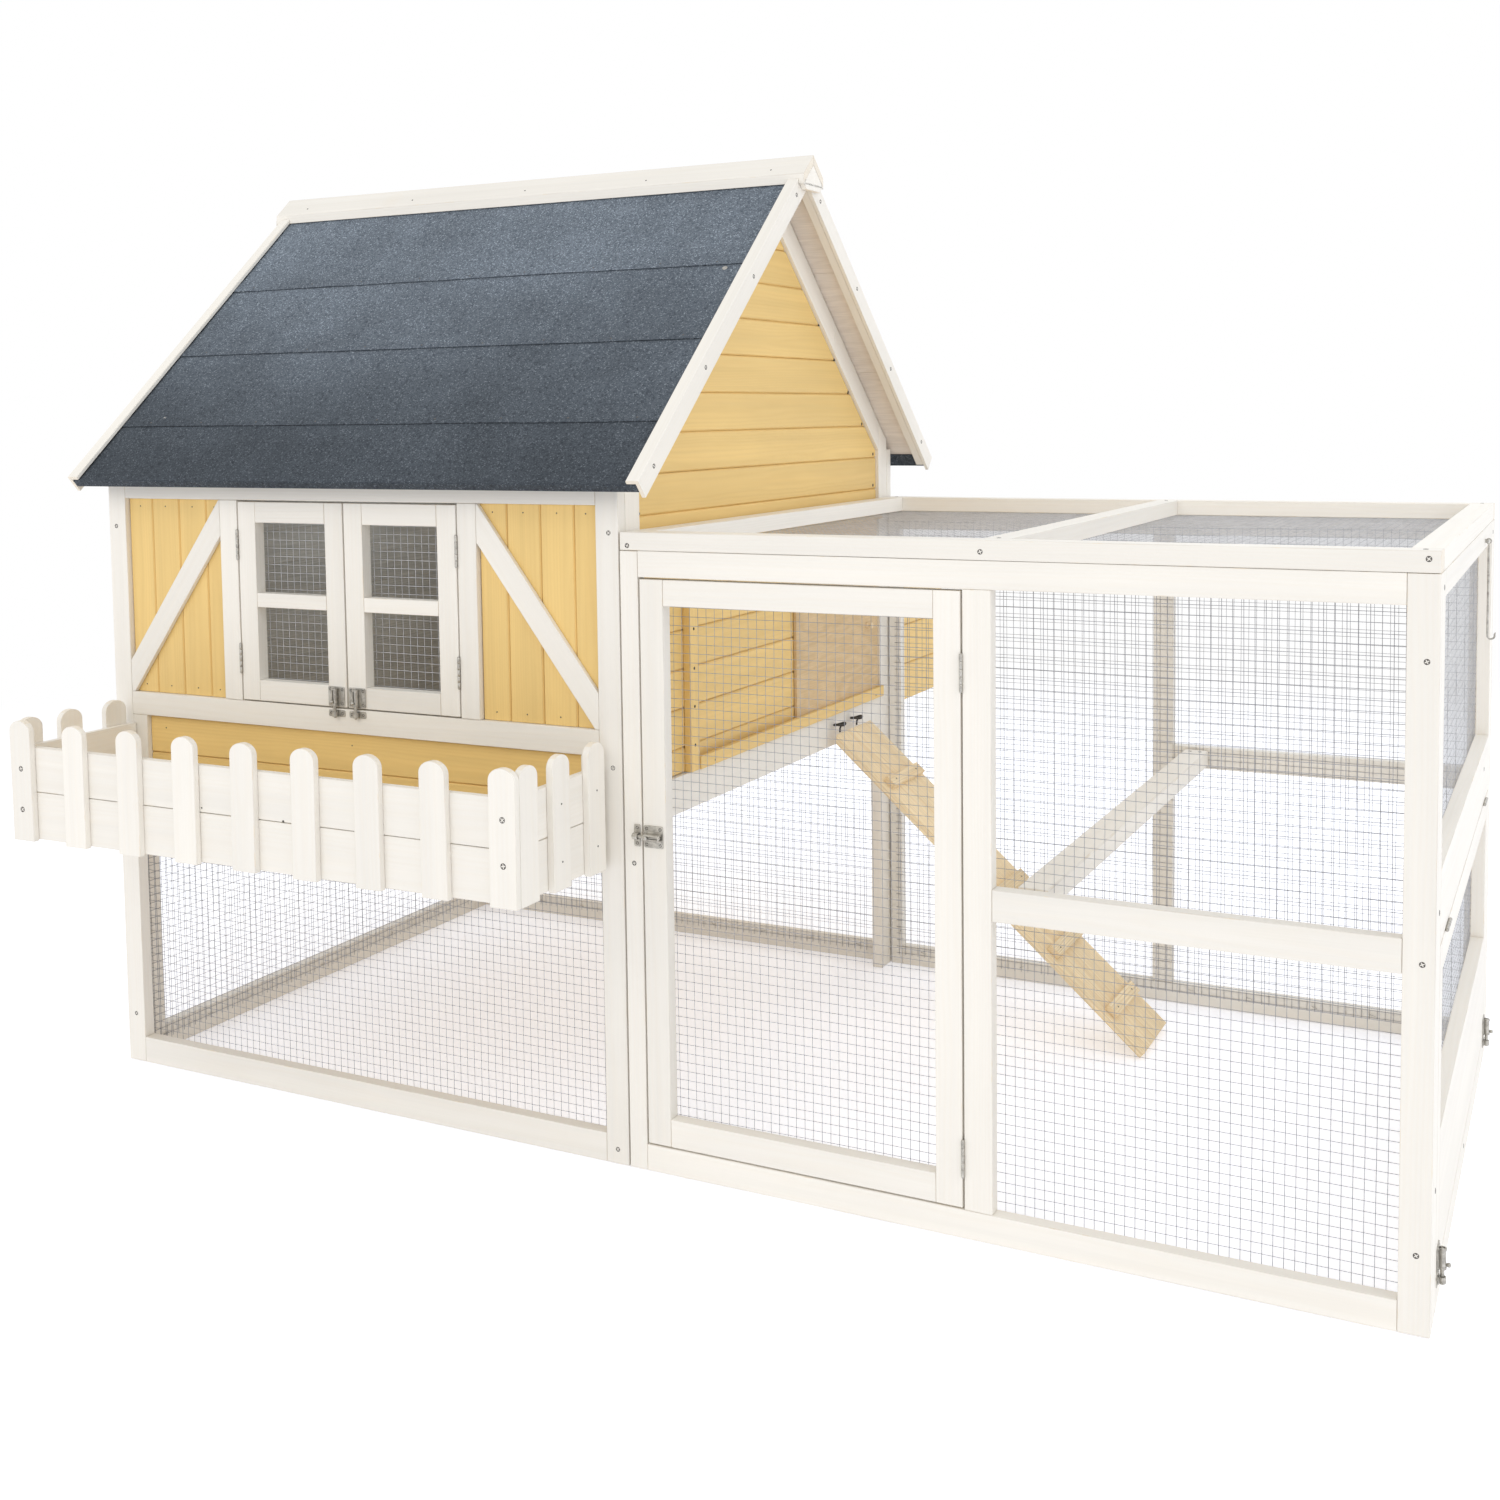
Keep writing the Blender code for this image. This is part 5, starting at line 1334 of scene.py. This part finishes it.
with piece("run_perch_bar", [CREAM, SCREW], "cream_paint", "run_perch") as part:
    timber(part, (1.520, 1.560), (THICK + 0.0022, DEPTH - 0.0222), (0.4310, 0.4580), "y",
           bevel=0.0022)
    for x in (1.532, 1.549):
        screw(part, (x, DEPTH - 0.040, 0.4580), Z, 0.0030)

# ------------------------------------------------------------------ door, windows, end flap
with piece("run_door_timbers", [CREAM, SCREW], "cream_paint", "run_door",
           body="run_door_leaf") as part:
    x0, x1 = DOOR_X0 + 0.036, DOOR_X1 - 0.036
    sticks(part, FRONT, (
        (DOOR_X0, x0, DOOR_Z0, DOOR_Z1, "z"),
        (x1, DOOR_X1, DOOR_Z0, DOOR_Z1, "z"),
        (x0, x1, DOOR_Z0, DOOR_Z0 + 0.039, "x"),
        (x0, x1, DOOR_Z1 - 0.036, DOOR_Z1, "x")), stile_gap=0.0)
for side, x in WINDOW_X.items():
    with piece("window_timbers_" + side, [CREAM], "cream_paint", "window_door_" + side,
               body="window_" + side + "_leaf") as part:
        x0, x1 = x + 0.034, x + WINDOW_W - 0.034
        sticks(part, FRONT, (
            (x, x0, WINDOW_Z0, WINDOW_Z1, "z"),
            (x1, x + WINDOW_W, WINDOW_Z0, WINDOW_Z1, "z"),
            (x0, x1, WINDOW_Z0, 0.651, "x"),
            (x0, x1, 0.765, 0.787, "x"),
            (x0, x1, 0.896, WINDOW_Z1, "x")), stile_gap=0.0)
with piece("end_flap_timbers", [CREAM, SCREW], "cream_paint", "end_flap",
           body="end_flap_leaf") as part:
    y0, y1 = 0.0985, DEPTH - 0.0985
    sticks(part, END, (
        (0.0625, y0, FLAP_Z0, FLAP_Z1, "z"),
        (y1, DEPTH - 0.0625, FLAP_Z0, FLAP_Z1, "z"),
        (y0, y1, 0.397, FLAP_Z1, "y"),
        (y0, y1, FLAP_Z0, 0.205, "y")), stile_gap=0.0)

# ------------------------------------------------------------------ ramp
RAMP_TOP, RAMP_LEN, RAMP_ANGLE = Vector((0.9860, 0.0, 0.4880)), 0.7157, math.radians(41.75)
RAMP_Y0, RAMP_Y1, RAMP_T = 0.6900, 0.8440, 0.0130
RAMP_DOWN = Vector((math.cos(RAMP_ANGLE), 0, -math.sin(RAMP_ANGLE)))
RAMP_OUT = Vector((math.sin(RAMP_ANGLE), 0, math.cos(RAMP_ANGLE)))
CLEAT_W, CLEAT_T = 0.022, 0.0110


def on_ramp(down, y, out):
    return RAMP_TOP + RAMP_DOWN * down + RAMP_OUT * out + Y * y


with piece("ramp_boards", [PINE, SCREW, BLACK], "pine", "ramp", body="ramp_board") as part:
    solid = placed_box((0.0, RAMP_LEN), (RAMP_Y0, RAMP_Y1), (-RAMP_T, 0.0), on_ramp)
    # draw the upper arris out towards the wall
    for v in solid.verts:
        if (v.co - on_ramp(0.0, v.co.y, 0.0)).length < 0.002:
            v.co -= RAMP_DOWN * 0.0085
    board(part, solid, RAMP_DOWN, Y, bevel=0.0010, step=0.06, wobble=0.0004)
    for k in range(5):                          # cleats
        down = 0.105 + k * 0.130
        skew = rnd.uniform(-0.0015, 0.0015)
        solid = placed_box((down, down + CLEAT_W), (RAMP_Y0 + 0.008, RAMP_Y1 - 0.008),
                           (0.0001, CLEAT_T), on_ramp)
        for v in solid.verts:
            v.co += RAMP_DOWN * (skew * (v.co.y - (RAMP_Y0 + RAMP_Y1) / 2) / 0.07)
        board(part, solid, Y, RAMP_DOWN, bevel=0.0012, step=0.03)
        for y in (RAMP_Y0 + 0.030, RAMP_Y1 - 0.032):
            at = on_ramp(down + CLEAT_W / 2 + rnd.uniform(-0.002, 0.002), y, CLEAT_T)
            nail(part, at, RAMP_OUT, 0.0018)
    for y in (0.7190, 0.7940):                  # hooks in the upper end
        tube(part, [(0.9772, y, 0.4922), (0.9790, y, 0.4908), (0.9812, y, 0.4868),
                    on_ramp(0.0, y, -0.0060) + Vector((-0.0004, 0, 0.0004)),
                    on_ramp(0.0060, y, -0.0060)], 0.0014, 10, 2)

with piece("ramp_eyes", [BLACK], "zinc") as part:    # screw eyes that carry the hooks
    for y in (0.7155, 0.7905):
        circle = arc((0.9750, y, 0.5070), (1, 0, 0.12), Y, 0.0098, 0, 360, 24)[:-1]
        ring = [p + Z * (0.0012 * math.sin(3 * math.pi * n / 20)) for n, p in enumerate(circle)]
        tube(part, ring, 0.0022, 10, closed=True)
        tube(part, [(0.9800, y - 0.0068, 0.5066), (0.9786, y - 0.0030, 0.5046),
                    (0.9758, y - 0.0006, 0.5006), (0.9752, y, 0.4936)], 0.0016, 10)

# ------------------------------------------------------------------ barrel bolts
ROD_OUT = 0.0056                                # rod axis out from the face
ROD = ((-0.0156, 0.35), (-0.0152, 0.75), (-0.0140, 1.0), (0.0, 1.0), (0.0100, 1.0),
       (0.0200, 1.0), (0.0282, 1.0), (0.0290, 0.75))        # (into the leaf, taper)
BOLT_KNOB = ((0.0056, 0.0016), (0.0098, 0.0015), (0.0106, 0.0021), (0.0118, 0.0027),
             (0.0134, 0.0029), (0.0146, 0.0022), (0.0150, 0.0008))      # (out, radius)


def bolt(tag, corner, into, across, out, leaf, rod):
    """A bolt at the closing edge of a leaf; into runs into the leaf, out leaves its face."""
    corner = Vector(corner)

    def at(s, t, n):
        return corner + into * s + across * t + out * n

    def plate(part, s0, s1, t0, t1, n0, n1, radius):
        """A flat plate with rounded corners."""
        points = []
        for s, t, start in ((s1 - radius, t1 - radius, 0), (s0 + radius, t1 - radius, 90),
                            (s0 + radius, t0 + radius, 180), (s1 - radius, t0 + radius, 270)):
            for k in range(5):
                a = math.radians(start + 90 * k / 4)
                points.append((s + radius * math.cos(a), t + radius * math.sin(a)))
        solid = loft([[at(s, t, n) for s, t in points] for n in (n0, n1)])
        board(part, solid, into, across, bevel=0.0003, step=0, wobble=0, angle=0.9)

    def arch(part, s0, s1, start, end, inner, outer):
        """Part of a tube wall over the rod, between two angles in degrees."""
        steps = max(3, int(abs(end - start) / 12))
        rings = []
        for k in range(steps + 1):
            a = math.radians(start + (end - start) * k / steps)
            rings.append([at(s, r * math.cos(a), ROD_OUT + r * math.sin(a)) for s, r in
                          ((s0, inner), (s0, outer), (s1, outer), (s1, inner))])
        part.add_solid(loft(rings, caps_first=False), into, across, tint=0.5)

    with piece(tag + "_plate_metal", [ZINC, SCREW], "zinc", tag + "_plate", body=leaf) as part:
        plate(part, 0.0015, 0.0315, -0.0155, 0.0155, 0.0002, 0.0014, 0.0022)
        for s in (0.0058, 0.0272):
            for t in (-0.0112, 0.0112):
                screw(part, at(s, t, 0.0013), out, 0.0024)
        # barrel: side walls with a slot for the knob, closed by a band at each end
        for start, end in ((-42, 62), (118, 222)):
            arch(part, 0.0042, 0.0290, start, end, 0.0030, 0.0044)
        for s0, s1 in ((0.0040, 0.0072), (0.0270, 0.0294)):
            arch(part, s0, s1, -42, 222, 0.0031, 0.0047)
        for t in (-0.0052, 0.0052):
            plate(part, 0.0040, 0.0292, t - 0.0022, t + 0.0022, 0.0013, 0.0024, 0.0008)
    with piece(tag + "_rod_metal", [ZINC], "zinc", tag, body=rod) as part:
        tube(part, [at(s, 0, ROD_OUT) for s, _ in ROD], 0.0024, 14, taper=[t for _, t in ROD])
        turned(part, lambda n: at(0.0097, 0, n), BOLT_KNOB, 14)
    with piece(tag + "_keeper", [ZINC, SCREW], "zinc") as part:
        plate(part, -0.0142, -0.0042, -0.0155, 0.0155, 0.0002, 0.0013, 0.0018)
        arch(part, -0.0132, -0.0054, -42, 222, 0.0031, 0.0045)
        for t in (-0.0108, 0.0108):
            screw(part, at(-0.0092, t, 0.0012), out, 0.0024)
        for t in (-0.0052, 0.0052):
            plate(part, -0.0132, -0.0054, t - 0.0020, t + 0.0020, 0.0012, 0.0023, 0.0007)


bolt("run_door_bolt", (DOOR_X0, 0.0, 0.4750), X, Z, -Y, "run_door_leaf", "run_door_bolt_rod")
for side, x in (("left", 0.4605), ("right", 0.5000)):
    bolt("window_bolt_" + side, (x, 0.0, WINDOW_Z0), Z, X, -Y, "window_" + side + "_leaf",
         "window_" + side + "_bolt_rod")
for tag, y in (("front", 0.0850), ("rear", DEPTH - 0.0850)):
    bolt("flap_bolt_" + tag, (LENGTH, y, FLAP_Z0), Z, Y, X, "end_flap_leaf",
         "flap_" + tag + "_bolt_rod")

# ------------------------------------------------------------------ butt hinges
KNUCKLE_TAPER = [0.88, 1.0, 1.0, 0.88]


def knuckles(fixed, moving, centre, axis, length, radius, gap):
    """Five short tubes end to end, taken in turn by the two leaves."""
    pitch = length / 5
    for i in range(5):
        a0, a1 = -length / 2 + i * pitch + gap, -length / 2 + (i + 1) * pitch - gap
        tube(moving if i % 2 else fixed,
             [centre + axis * a for a in (a0, a0 + 0.0003, a1 - 0.0003, a1)], radius, 14,
             taper=KNUCKLE_TAPER)


def hinge(tag, centre, axis, into_fixed, out, leaf, *stands_for, length=0.048, radius=0.0023):
    """A hinge in the gap at a leaf's edge; into_fixed points to the fixed side."""
    centre = Vector(centre)
    # the last piece opened is built first: fixed, then moving
    with (piece(tag + "_moving_leaf", [ZINC, SCREW], "zinc", body=leaf) as moving,
          piece(tag + "_fixed_leaf", [ZINC, SCREW], "zinc", *stands_for) as fixed):
        knuckles(fixed, moving, centre, axis, length, radius, gap=0.00015)
        for end in (-1, 1):                     # pin heads
            tube(fixed, [centre + axis * (end * (length / 2 + d))
                         for d in (-0.0005, 0.0006, 0.0011)],
                 radius * 0.72, 12, taper=[1.0, 1.0, 0.5])
        for part, sign in ((fixed, 1), (moving, -1)):
            solid = placed_box(
                (0.00035, 0.00105), (0.0006, 0.0006 + 0.0165), (-length / 2, length / 2),
                lambda off, deep, along: (centre + into_fixed * (sign * off) - out * deep
                                          + axis * along))
            board(part, solid, axis, out, **LEAF_METAL)


for tag, z in (("upper", 0.7280), ("lower", 0.1050)):
    name = "run_door_hinge_" + tag
    hinge(name, ((DOOR_X1 + DOOR_POST_X) / 2, -0.0020, z), Z, X, -Y, "run_door_leaf", name)
for tag, y in (("front", 0.1500), ("rear", 0.8500)):
    name = "flap_hinge_" + tag
    hinge(name, (LENGTH + 0.0020, y, (FLAP_Z1 + END_RAIL_Z) / 2), Y, Z, X, "end_flap_leaf", name)
for side, x, into in (("left", (OPEN_X0 + WINDOW_X["left"]) / 2, -X),
                      ("right", (OPEN_X1 + WINDOW_X["right"] + WINDOW_W) / 2, X)):
    for tag, z in (("upper", 0.8610), ("lower", 0.6840)):
        hinge("window_hinge_" + side + "_" + tag, (x, -0.0020, z), Z, into, -Y,
              "window_" + side + "_leaf", length=0.046, radius=0.0021)


def lid_hinge(tag, x):
    """One leaf lies up the house wall, the other on the nest box lid."""
    y, z, length = DEPTH + 0.0060, 0.8270, 0.050
    wall = DEPTH + 0.0002
    y_tip = y + 0.030
    low, tip = lid_low(y + 0.006) + 0.0140, lid_low(y_tip) + 0.0140
    wall_leaf = [(y - 0.0022, z - 0.0004), (wall, z + 0.0040), (wall, z + 0.0260),
                 (wall + 0.0011, z + 0.0260), (wall + 0.0011, z + 0.0046),
                 (y - 0.0010, z + 0.0016)]
    lid_leaf = [(y + 0.0006, z - 0.0022), (y + 0.0060, low + 0.0001), (y_tip, tip + 0.0001),
                (y_tip, tip + 0.0012), (y + 0.0064, low + 0.0012), (y + 0.0022, z - 0.0008)]
    name = "nest_lid_hinge_" + tag
    with (piece(name + "_moving_leaf", [ZINC, SCREW], "zinc",
                body="nest_box_lid_board") as moving,
          piece(name + "_fixed_leaf", [ZINC, SCREW], "zinc") as fixed):
        knuckles(fixed, moving, Vector((x, y, z)), X, length, 0.0026, gap=0.0002)
        board(fixed, prism(wall_leaf, "x", x - length / 2, x + length / 2), X, Z, **LEAF_METAL)
        board(moving, prism(lid_leaf, "x", x - length / 2, x + length / 2), X, Y, **LEAF_METAL)
        for dx in (-0.016, 0.016):
            screw(fixed, (x + dx, DEPTH + 0.0012, z + 0.0165), Y, 0.0024)
            screw(moving, (x + dx, y + 0.020, lid_low(y + 0.020) + 0.0151), (0, LID_TAN, 1),
                  0.0024)


lid_hinge("left", 0.200)
lid_hinge("right", 0.760)

# ------------------------------------------------------------------ flap hook and its eye
HOOK = Vector((LENGTH + 0.0052, 0.7600, 0.8500))        # middle of the hook's loop
with piece("flap_hook_metal", [ZINC], "zinc", "flap_hook", body="flap_hook_wire") as part:
    loop = arc(HOOK, X, Z, 0.0035, -62, 268, 24)
    shank = [HOOK - Z * drop for drop in (0.0052, 0.0120, 0.0800, 0.1380)]
    bend = arc(HOOK + Vector((0.0050, 0, -0.1420)), X, Z, 0.0050, 188, 375, 14)
    tip = [HOOK + Vector((0.0112, 0, -0.1370))]
    tube(part, loop + shank + bend + tip, 0.0014, 10, up=Y,
         taper=[0.82] * len(loop) + [0.9, 1.15, 1.15, 1.1] + [1.0] * len(bend) + [0.5])
with piece("flap_hook_eye", [ZINC], "zinc") as part:
    foot = Vector((LENGTH, HOOK.y, HOOK.z))
    half, bend_in, reach = 0.0066, 0.0040, 0.0026
    bow = [foot + Vector((-0.0060, -half, 0)), foot + Vector((reach, -half, 0))]
    bow += arc(foot + Vector((reach, -bend_in, 0)), X, -Y, 0.0026, 90, 0, 6)[1:]
    bow += arc(foot + Vector((reach, bend_in, 0)), X, Y, 0.0026, 0, 90, 6)
    bow += [foot + Vector((-0.0060, half, 0))]
    tube(part, bow, 0.0011, 10, up=Z)
    for y in (-half, half):
        tube(part, [foot + Vector((0.0001, y, 0)), foot + Vector((0.0008, y, 0))], 0.0028, 14)

# ------------------------------------------------------------------ screws of the fixed frames
FRONT_SCREWS = (                                # (x, z)
    (0.0150, 0.8854), (0.0180, 0.0794), (0.0180, 0.4350), (0.9450, 0.8927), (0.9454, 0.5657),
    (0.9420, 0.0210), (1.9963, 0.7710), (1.9939, 0.0938), (1.9960, 0.4300), (0.9770, 0.4350),
    (0.9743, 0.8760), (1.4801, 0.8800), (1.9968, 0.8850))
END_SCREWS = (                                  # (y, z)
    (0.0420, 0.8500), (0.0420, 0.1550), (0.0400, 0.4800), (0.8288, 0.4917), (0.9600, 0.0200),
    (0.9600, 0.8500), (0.5072, 0.0220))
TOP_SCREWS = (                                  # (x, y)
    (1.4900, 0.9560), (1.4900, 0.0440), (0.9800, 0.9800), (1.9920, 0.9800), (1.9920, 0.0170))
with piece("frame_screws", [SCREW], "zinc") as part:
    for x, z in FRONT_SCREWS:
        screw(part, (x, 0, z), -Y, mat=0)
    for y, z in END_SCREWS:
        screw(part, (LENGTH, y, z), X, mat=0)
    for x, y in TOP_SCREWS:
        screw(part, (x, y, RUN_TOP), Z, 0.0031, mat=0)
    for x in (0.0180, 0.9420, 0.9740, 1.4805, 1.9920):
        for z in (0.0200, 0.4400, 0.8480):
            screw(part, (x, DEPTH, z), Y, mat=0)
    for y in (0.0400, 0.9600):
        for z in (0.0210, 0.4380, 0.8400):
            screw(part, (0.0, y, z), -X, mat=0)


# ------------------------------------------------------------------ floor, sky, lights, camera
def floor_material():
    """Pale floor with a faint glow of its own; the camera sees it fade to white far out."""
    mat = Shader("studio_floor")
    place = mat.node("ShaderNodeTexCoord").outputs["Object"]
    soft = mat.noise(place, scale=1.3, detail=4.0)
    fine = mat.noise(place, scale=60.0)
    colour = mat.mix(mat.fade(soft, span=(0.3, 0.7)), (0.865, 0.870, 0.905),
                     (0.885, 0.890, 0.918))
    mat.finish(colour, 0.75, mat.bump(fine, distance=0.0005, strength=0.10), spec=0.15)
    far = mat.fade(mat.length(place), span=(1.9, 4.6))
    seen = mat.node("ShaderNodeLightPath").outputs["Is Camera Ray"]
    white = mat.node("ShaderNodeEmission")
    white.inputs["Color"].default_value = (1.0, 1.0, 1.0, 1.0)
    wash = mat.node("ShaderNodeEmission")
    wash.inputs["Color"].default_value = (0.92, 0.94, 1.0, 1.0)
    # glow: extra for the camera, and what every ray gets
    mat.put(wash.inputs["Strength"], mat.math("MULTIPLY_ADD", seen, 0.14, 0.22))
    mat.material.cycles.emission_sampling = "NONE"
    both = mat.node("ShaderNodeAddShader")
    mat.link(mat.surface.outputs[0], both.inputs[0])
    mat.link(wash.outputs[0], both.inputs[1])
    blend = mat.node("ShaderNodeMixShader")
    for socket, source in zip(blend.inputs, (mat.times(far, seen), both.outputs[0],
                                             white.outputs[0])):
        mat.link(source, socket)
    mat.link(blend.outputs[0], mat.output.inputs[0])
    return mat.material


def studio_floor():
    grid = bmesh.new()
    bmesh.ops.create_grid(grid, x_segments=24, y_segments=24, size=30.0)
    mesh = bpy.data.meshes.new("studio_floor")
    grid.to_mesh(mesh)
    grid.free()
    mesh.materials.append(floor_material())
    floor = bpy.data.objects.new("studio_floor", mesh)
    floor.location = (0, 0, -0.0006)
    bpy.context.scene.collection.objects.link(floor)


def studio_sky():
    """White to the camera, a soft cool light to everything else."""
    world = bpy.data.worlds.new("studio_sky")
    bpy.context.scene.world = world
    world.use_nodes = True
    nodes, links = world.node_tree.nodes, world.node_tree.links
    nodes.clear()
    output = nodes.new("ShaderNodeOutputWorld")
    mix = nodes.new("ShaderNodeMixShader")
    path = nodes.new("ShaderNodeLightPath")
    links.new(path.outputs["Is Camera Ray"], mix.inputs[0])
    for index, colour, strength in ((2, (1.0, 1.0, 1.0, 1.0), 1.0),
                                    (1, (0.945, 0.965, 1.0, 1.0), 0.93)):
        background = nodes.new("ShaderNodeBackground")
        background.inputs[0].default_value = colour
        background.inputs[1].default_value = strength
        links.new(background.outputs[0], mix.inputs[index])
    links.new(mix.outputs[0], output.inputs[0])


def area(name, at, target, size, power, colour):
    data = bpy.data.lights.new(name, "AREA")
    data.shape = "RECTANGLE"
    data.size, data.size_y = size
    data.energy = power
    data.color = colour
    light = bpy.data.objects.new(name, data)
    bpy.context.scene.collection.objects.link(light)
    at = Vector(at)
    light.location = at
    light.rotation_mode = "QUATERNION"
    light.rotation_quaternion = (Vector(target) - at).to_track_quat("-Z", "Y")
    return light


def camera(place, yaw, pitch, roll, lens, shift_y):
    """Angles in degrees: yaw from +Y towards +X, pitch up, then roll about the view."""
    yaw, pitch, roll = math.radians(yaw), math.radians(pitch), math.radians(roll)
    forward = Vector((math.sin(yaw) * math.cos(pitch), math.cos(yaw) * math.cos(pitch),
                      math.sin(pitch)))
    level = Vector((math.cos(yaw), -math.sin(yaw), 0.0))
    upright = level.cross(forward)
    right = level * math.cos(roll) + upright * math.sin(roll)
    up = -level * math.sin(roll) + upright * math.cos(roll)
    data = bpy.data.cameras.new("camera")
    data.sensor_fit = "AUTO"
    data.sensor_width = 36.0
    data.lens = lens
    data.shift_y = shift_y
    data.clip_start, data.clip_end = 0.05, 200.0
    cam = bpy.data.objects.new("camera", data)
    bpy.context.scene.collection.objects.link(cam)
    cam.matrix_world = Matrix((*zip(right, up, -forward, place), (0, 0, 0, 1)))
    bpy.context.scene.camera = cam


studio_floor()
studio_sky()
area("key_light", at=(-1.0, -4.6, 3.6), target=(0.0, 0.0, 0.5), size=(3.8, 2.8), power=48.0,
     colour=(1.0, 0.95, 0.87))
area("fill_light", at=(4.4, -0.8, 2.9), target=(0.3, 0.0, 0.6), size=(3.2, 3.0), power=42.0,
     colour=(0.95, 0.97, 1.0))
area("back_light", at=(0.6, 4.6, 3.6), target=(0.0, 0.0, 0.6), size=(3.6, 2.4), power=32.0,
     colour=(0.96, 0.98, 1.0))
house_light = area("house_light", at=Vector((0.50, 0.46, 1.12)) + ORIGIN,
                   target=Vector((0.50, 0.66, 0.55)) + ORIGIN, size=(0.60, 0.30), power=2.1,
                   colour=(0.74, 0.83, 0.92))
house_light.visible_camera = False
camera(Vector((2.166655, -1.998883, 1.053874)) + ORIGIN, yaw=-26.665, pitch=-3.955,
       roll=-0.735, lens=40.860456, shift_y=-0.14580133)
bpy.context.scene.view_settings.view_transform = "Standard"
bpy.context.scene.view_settings.look = "None"
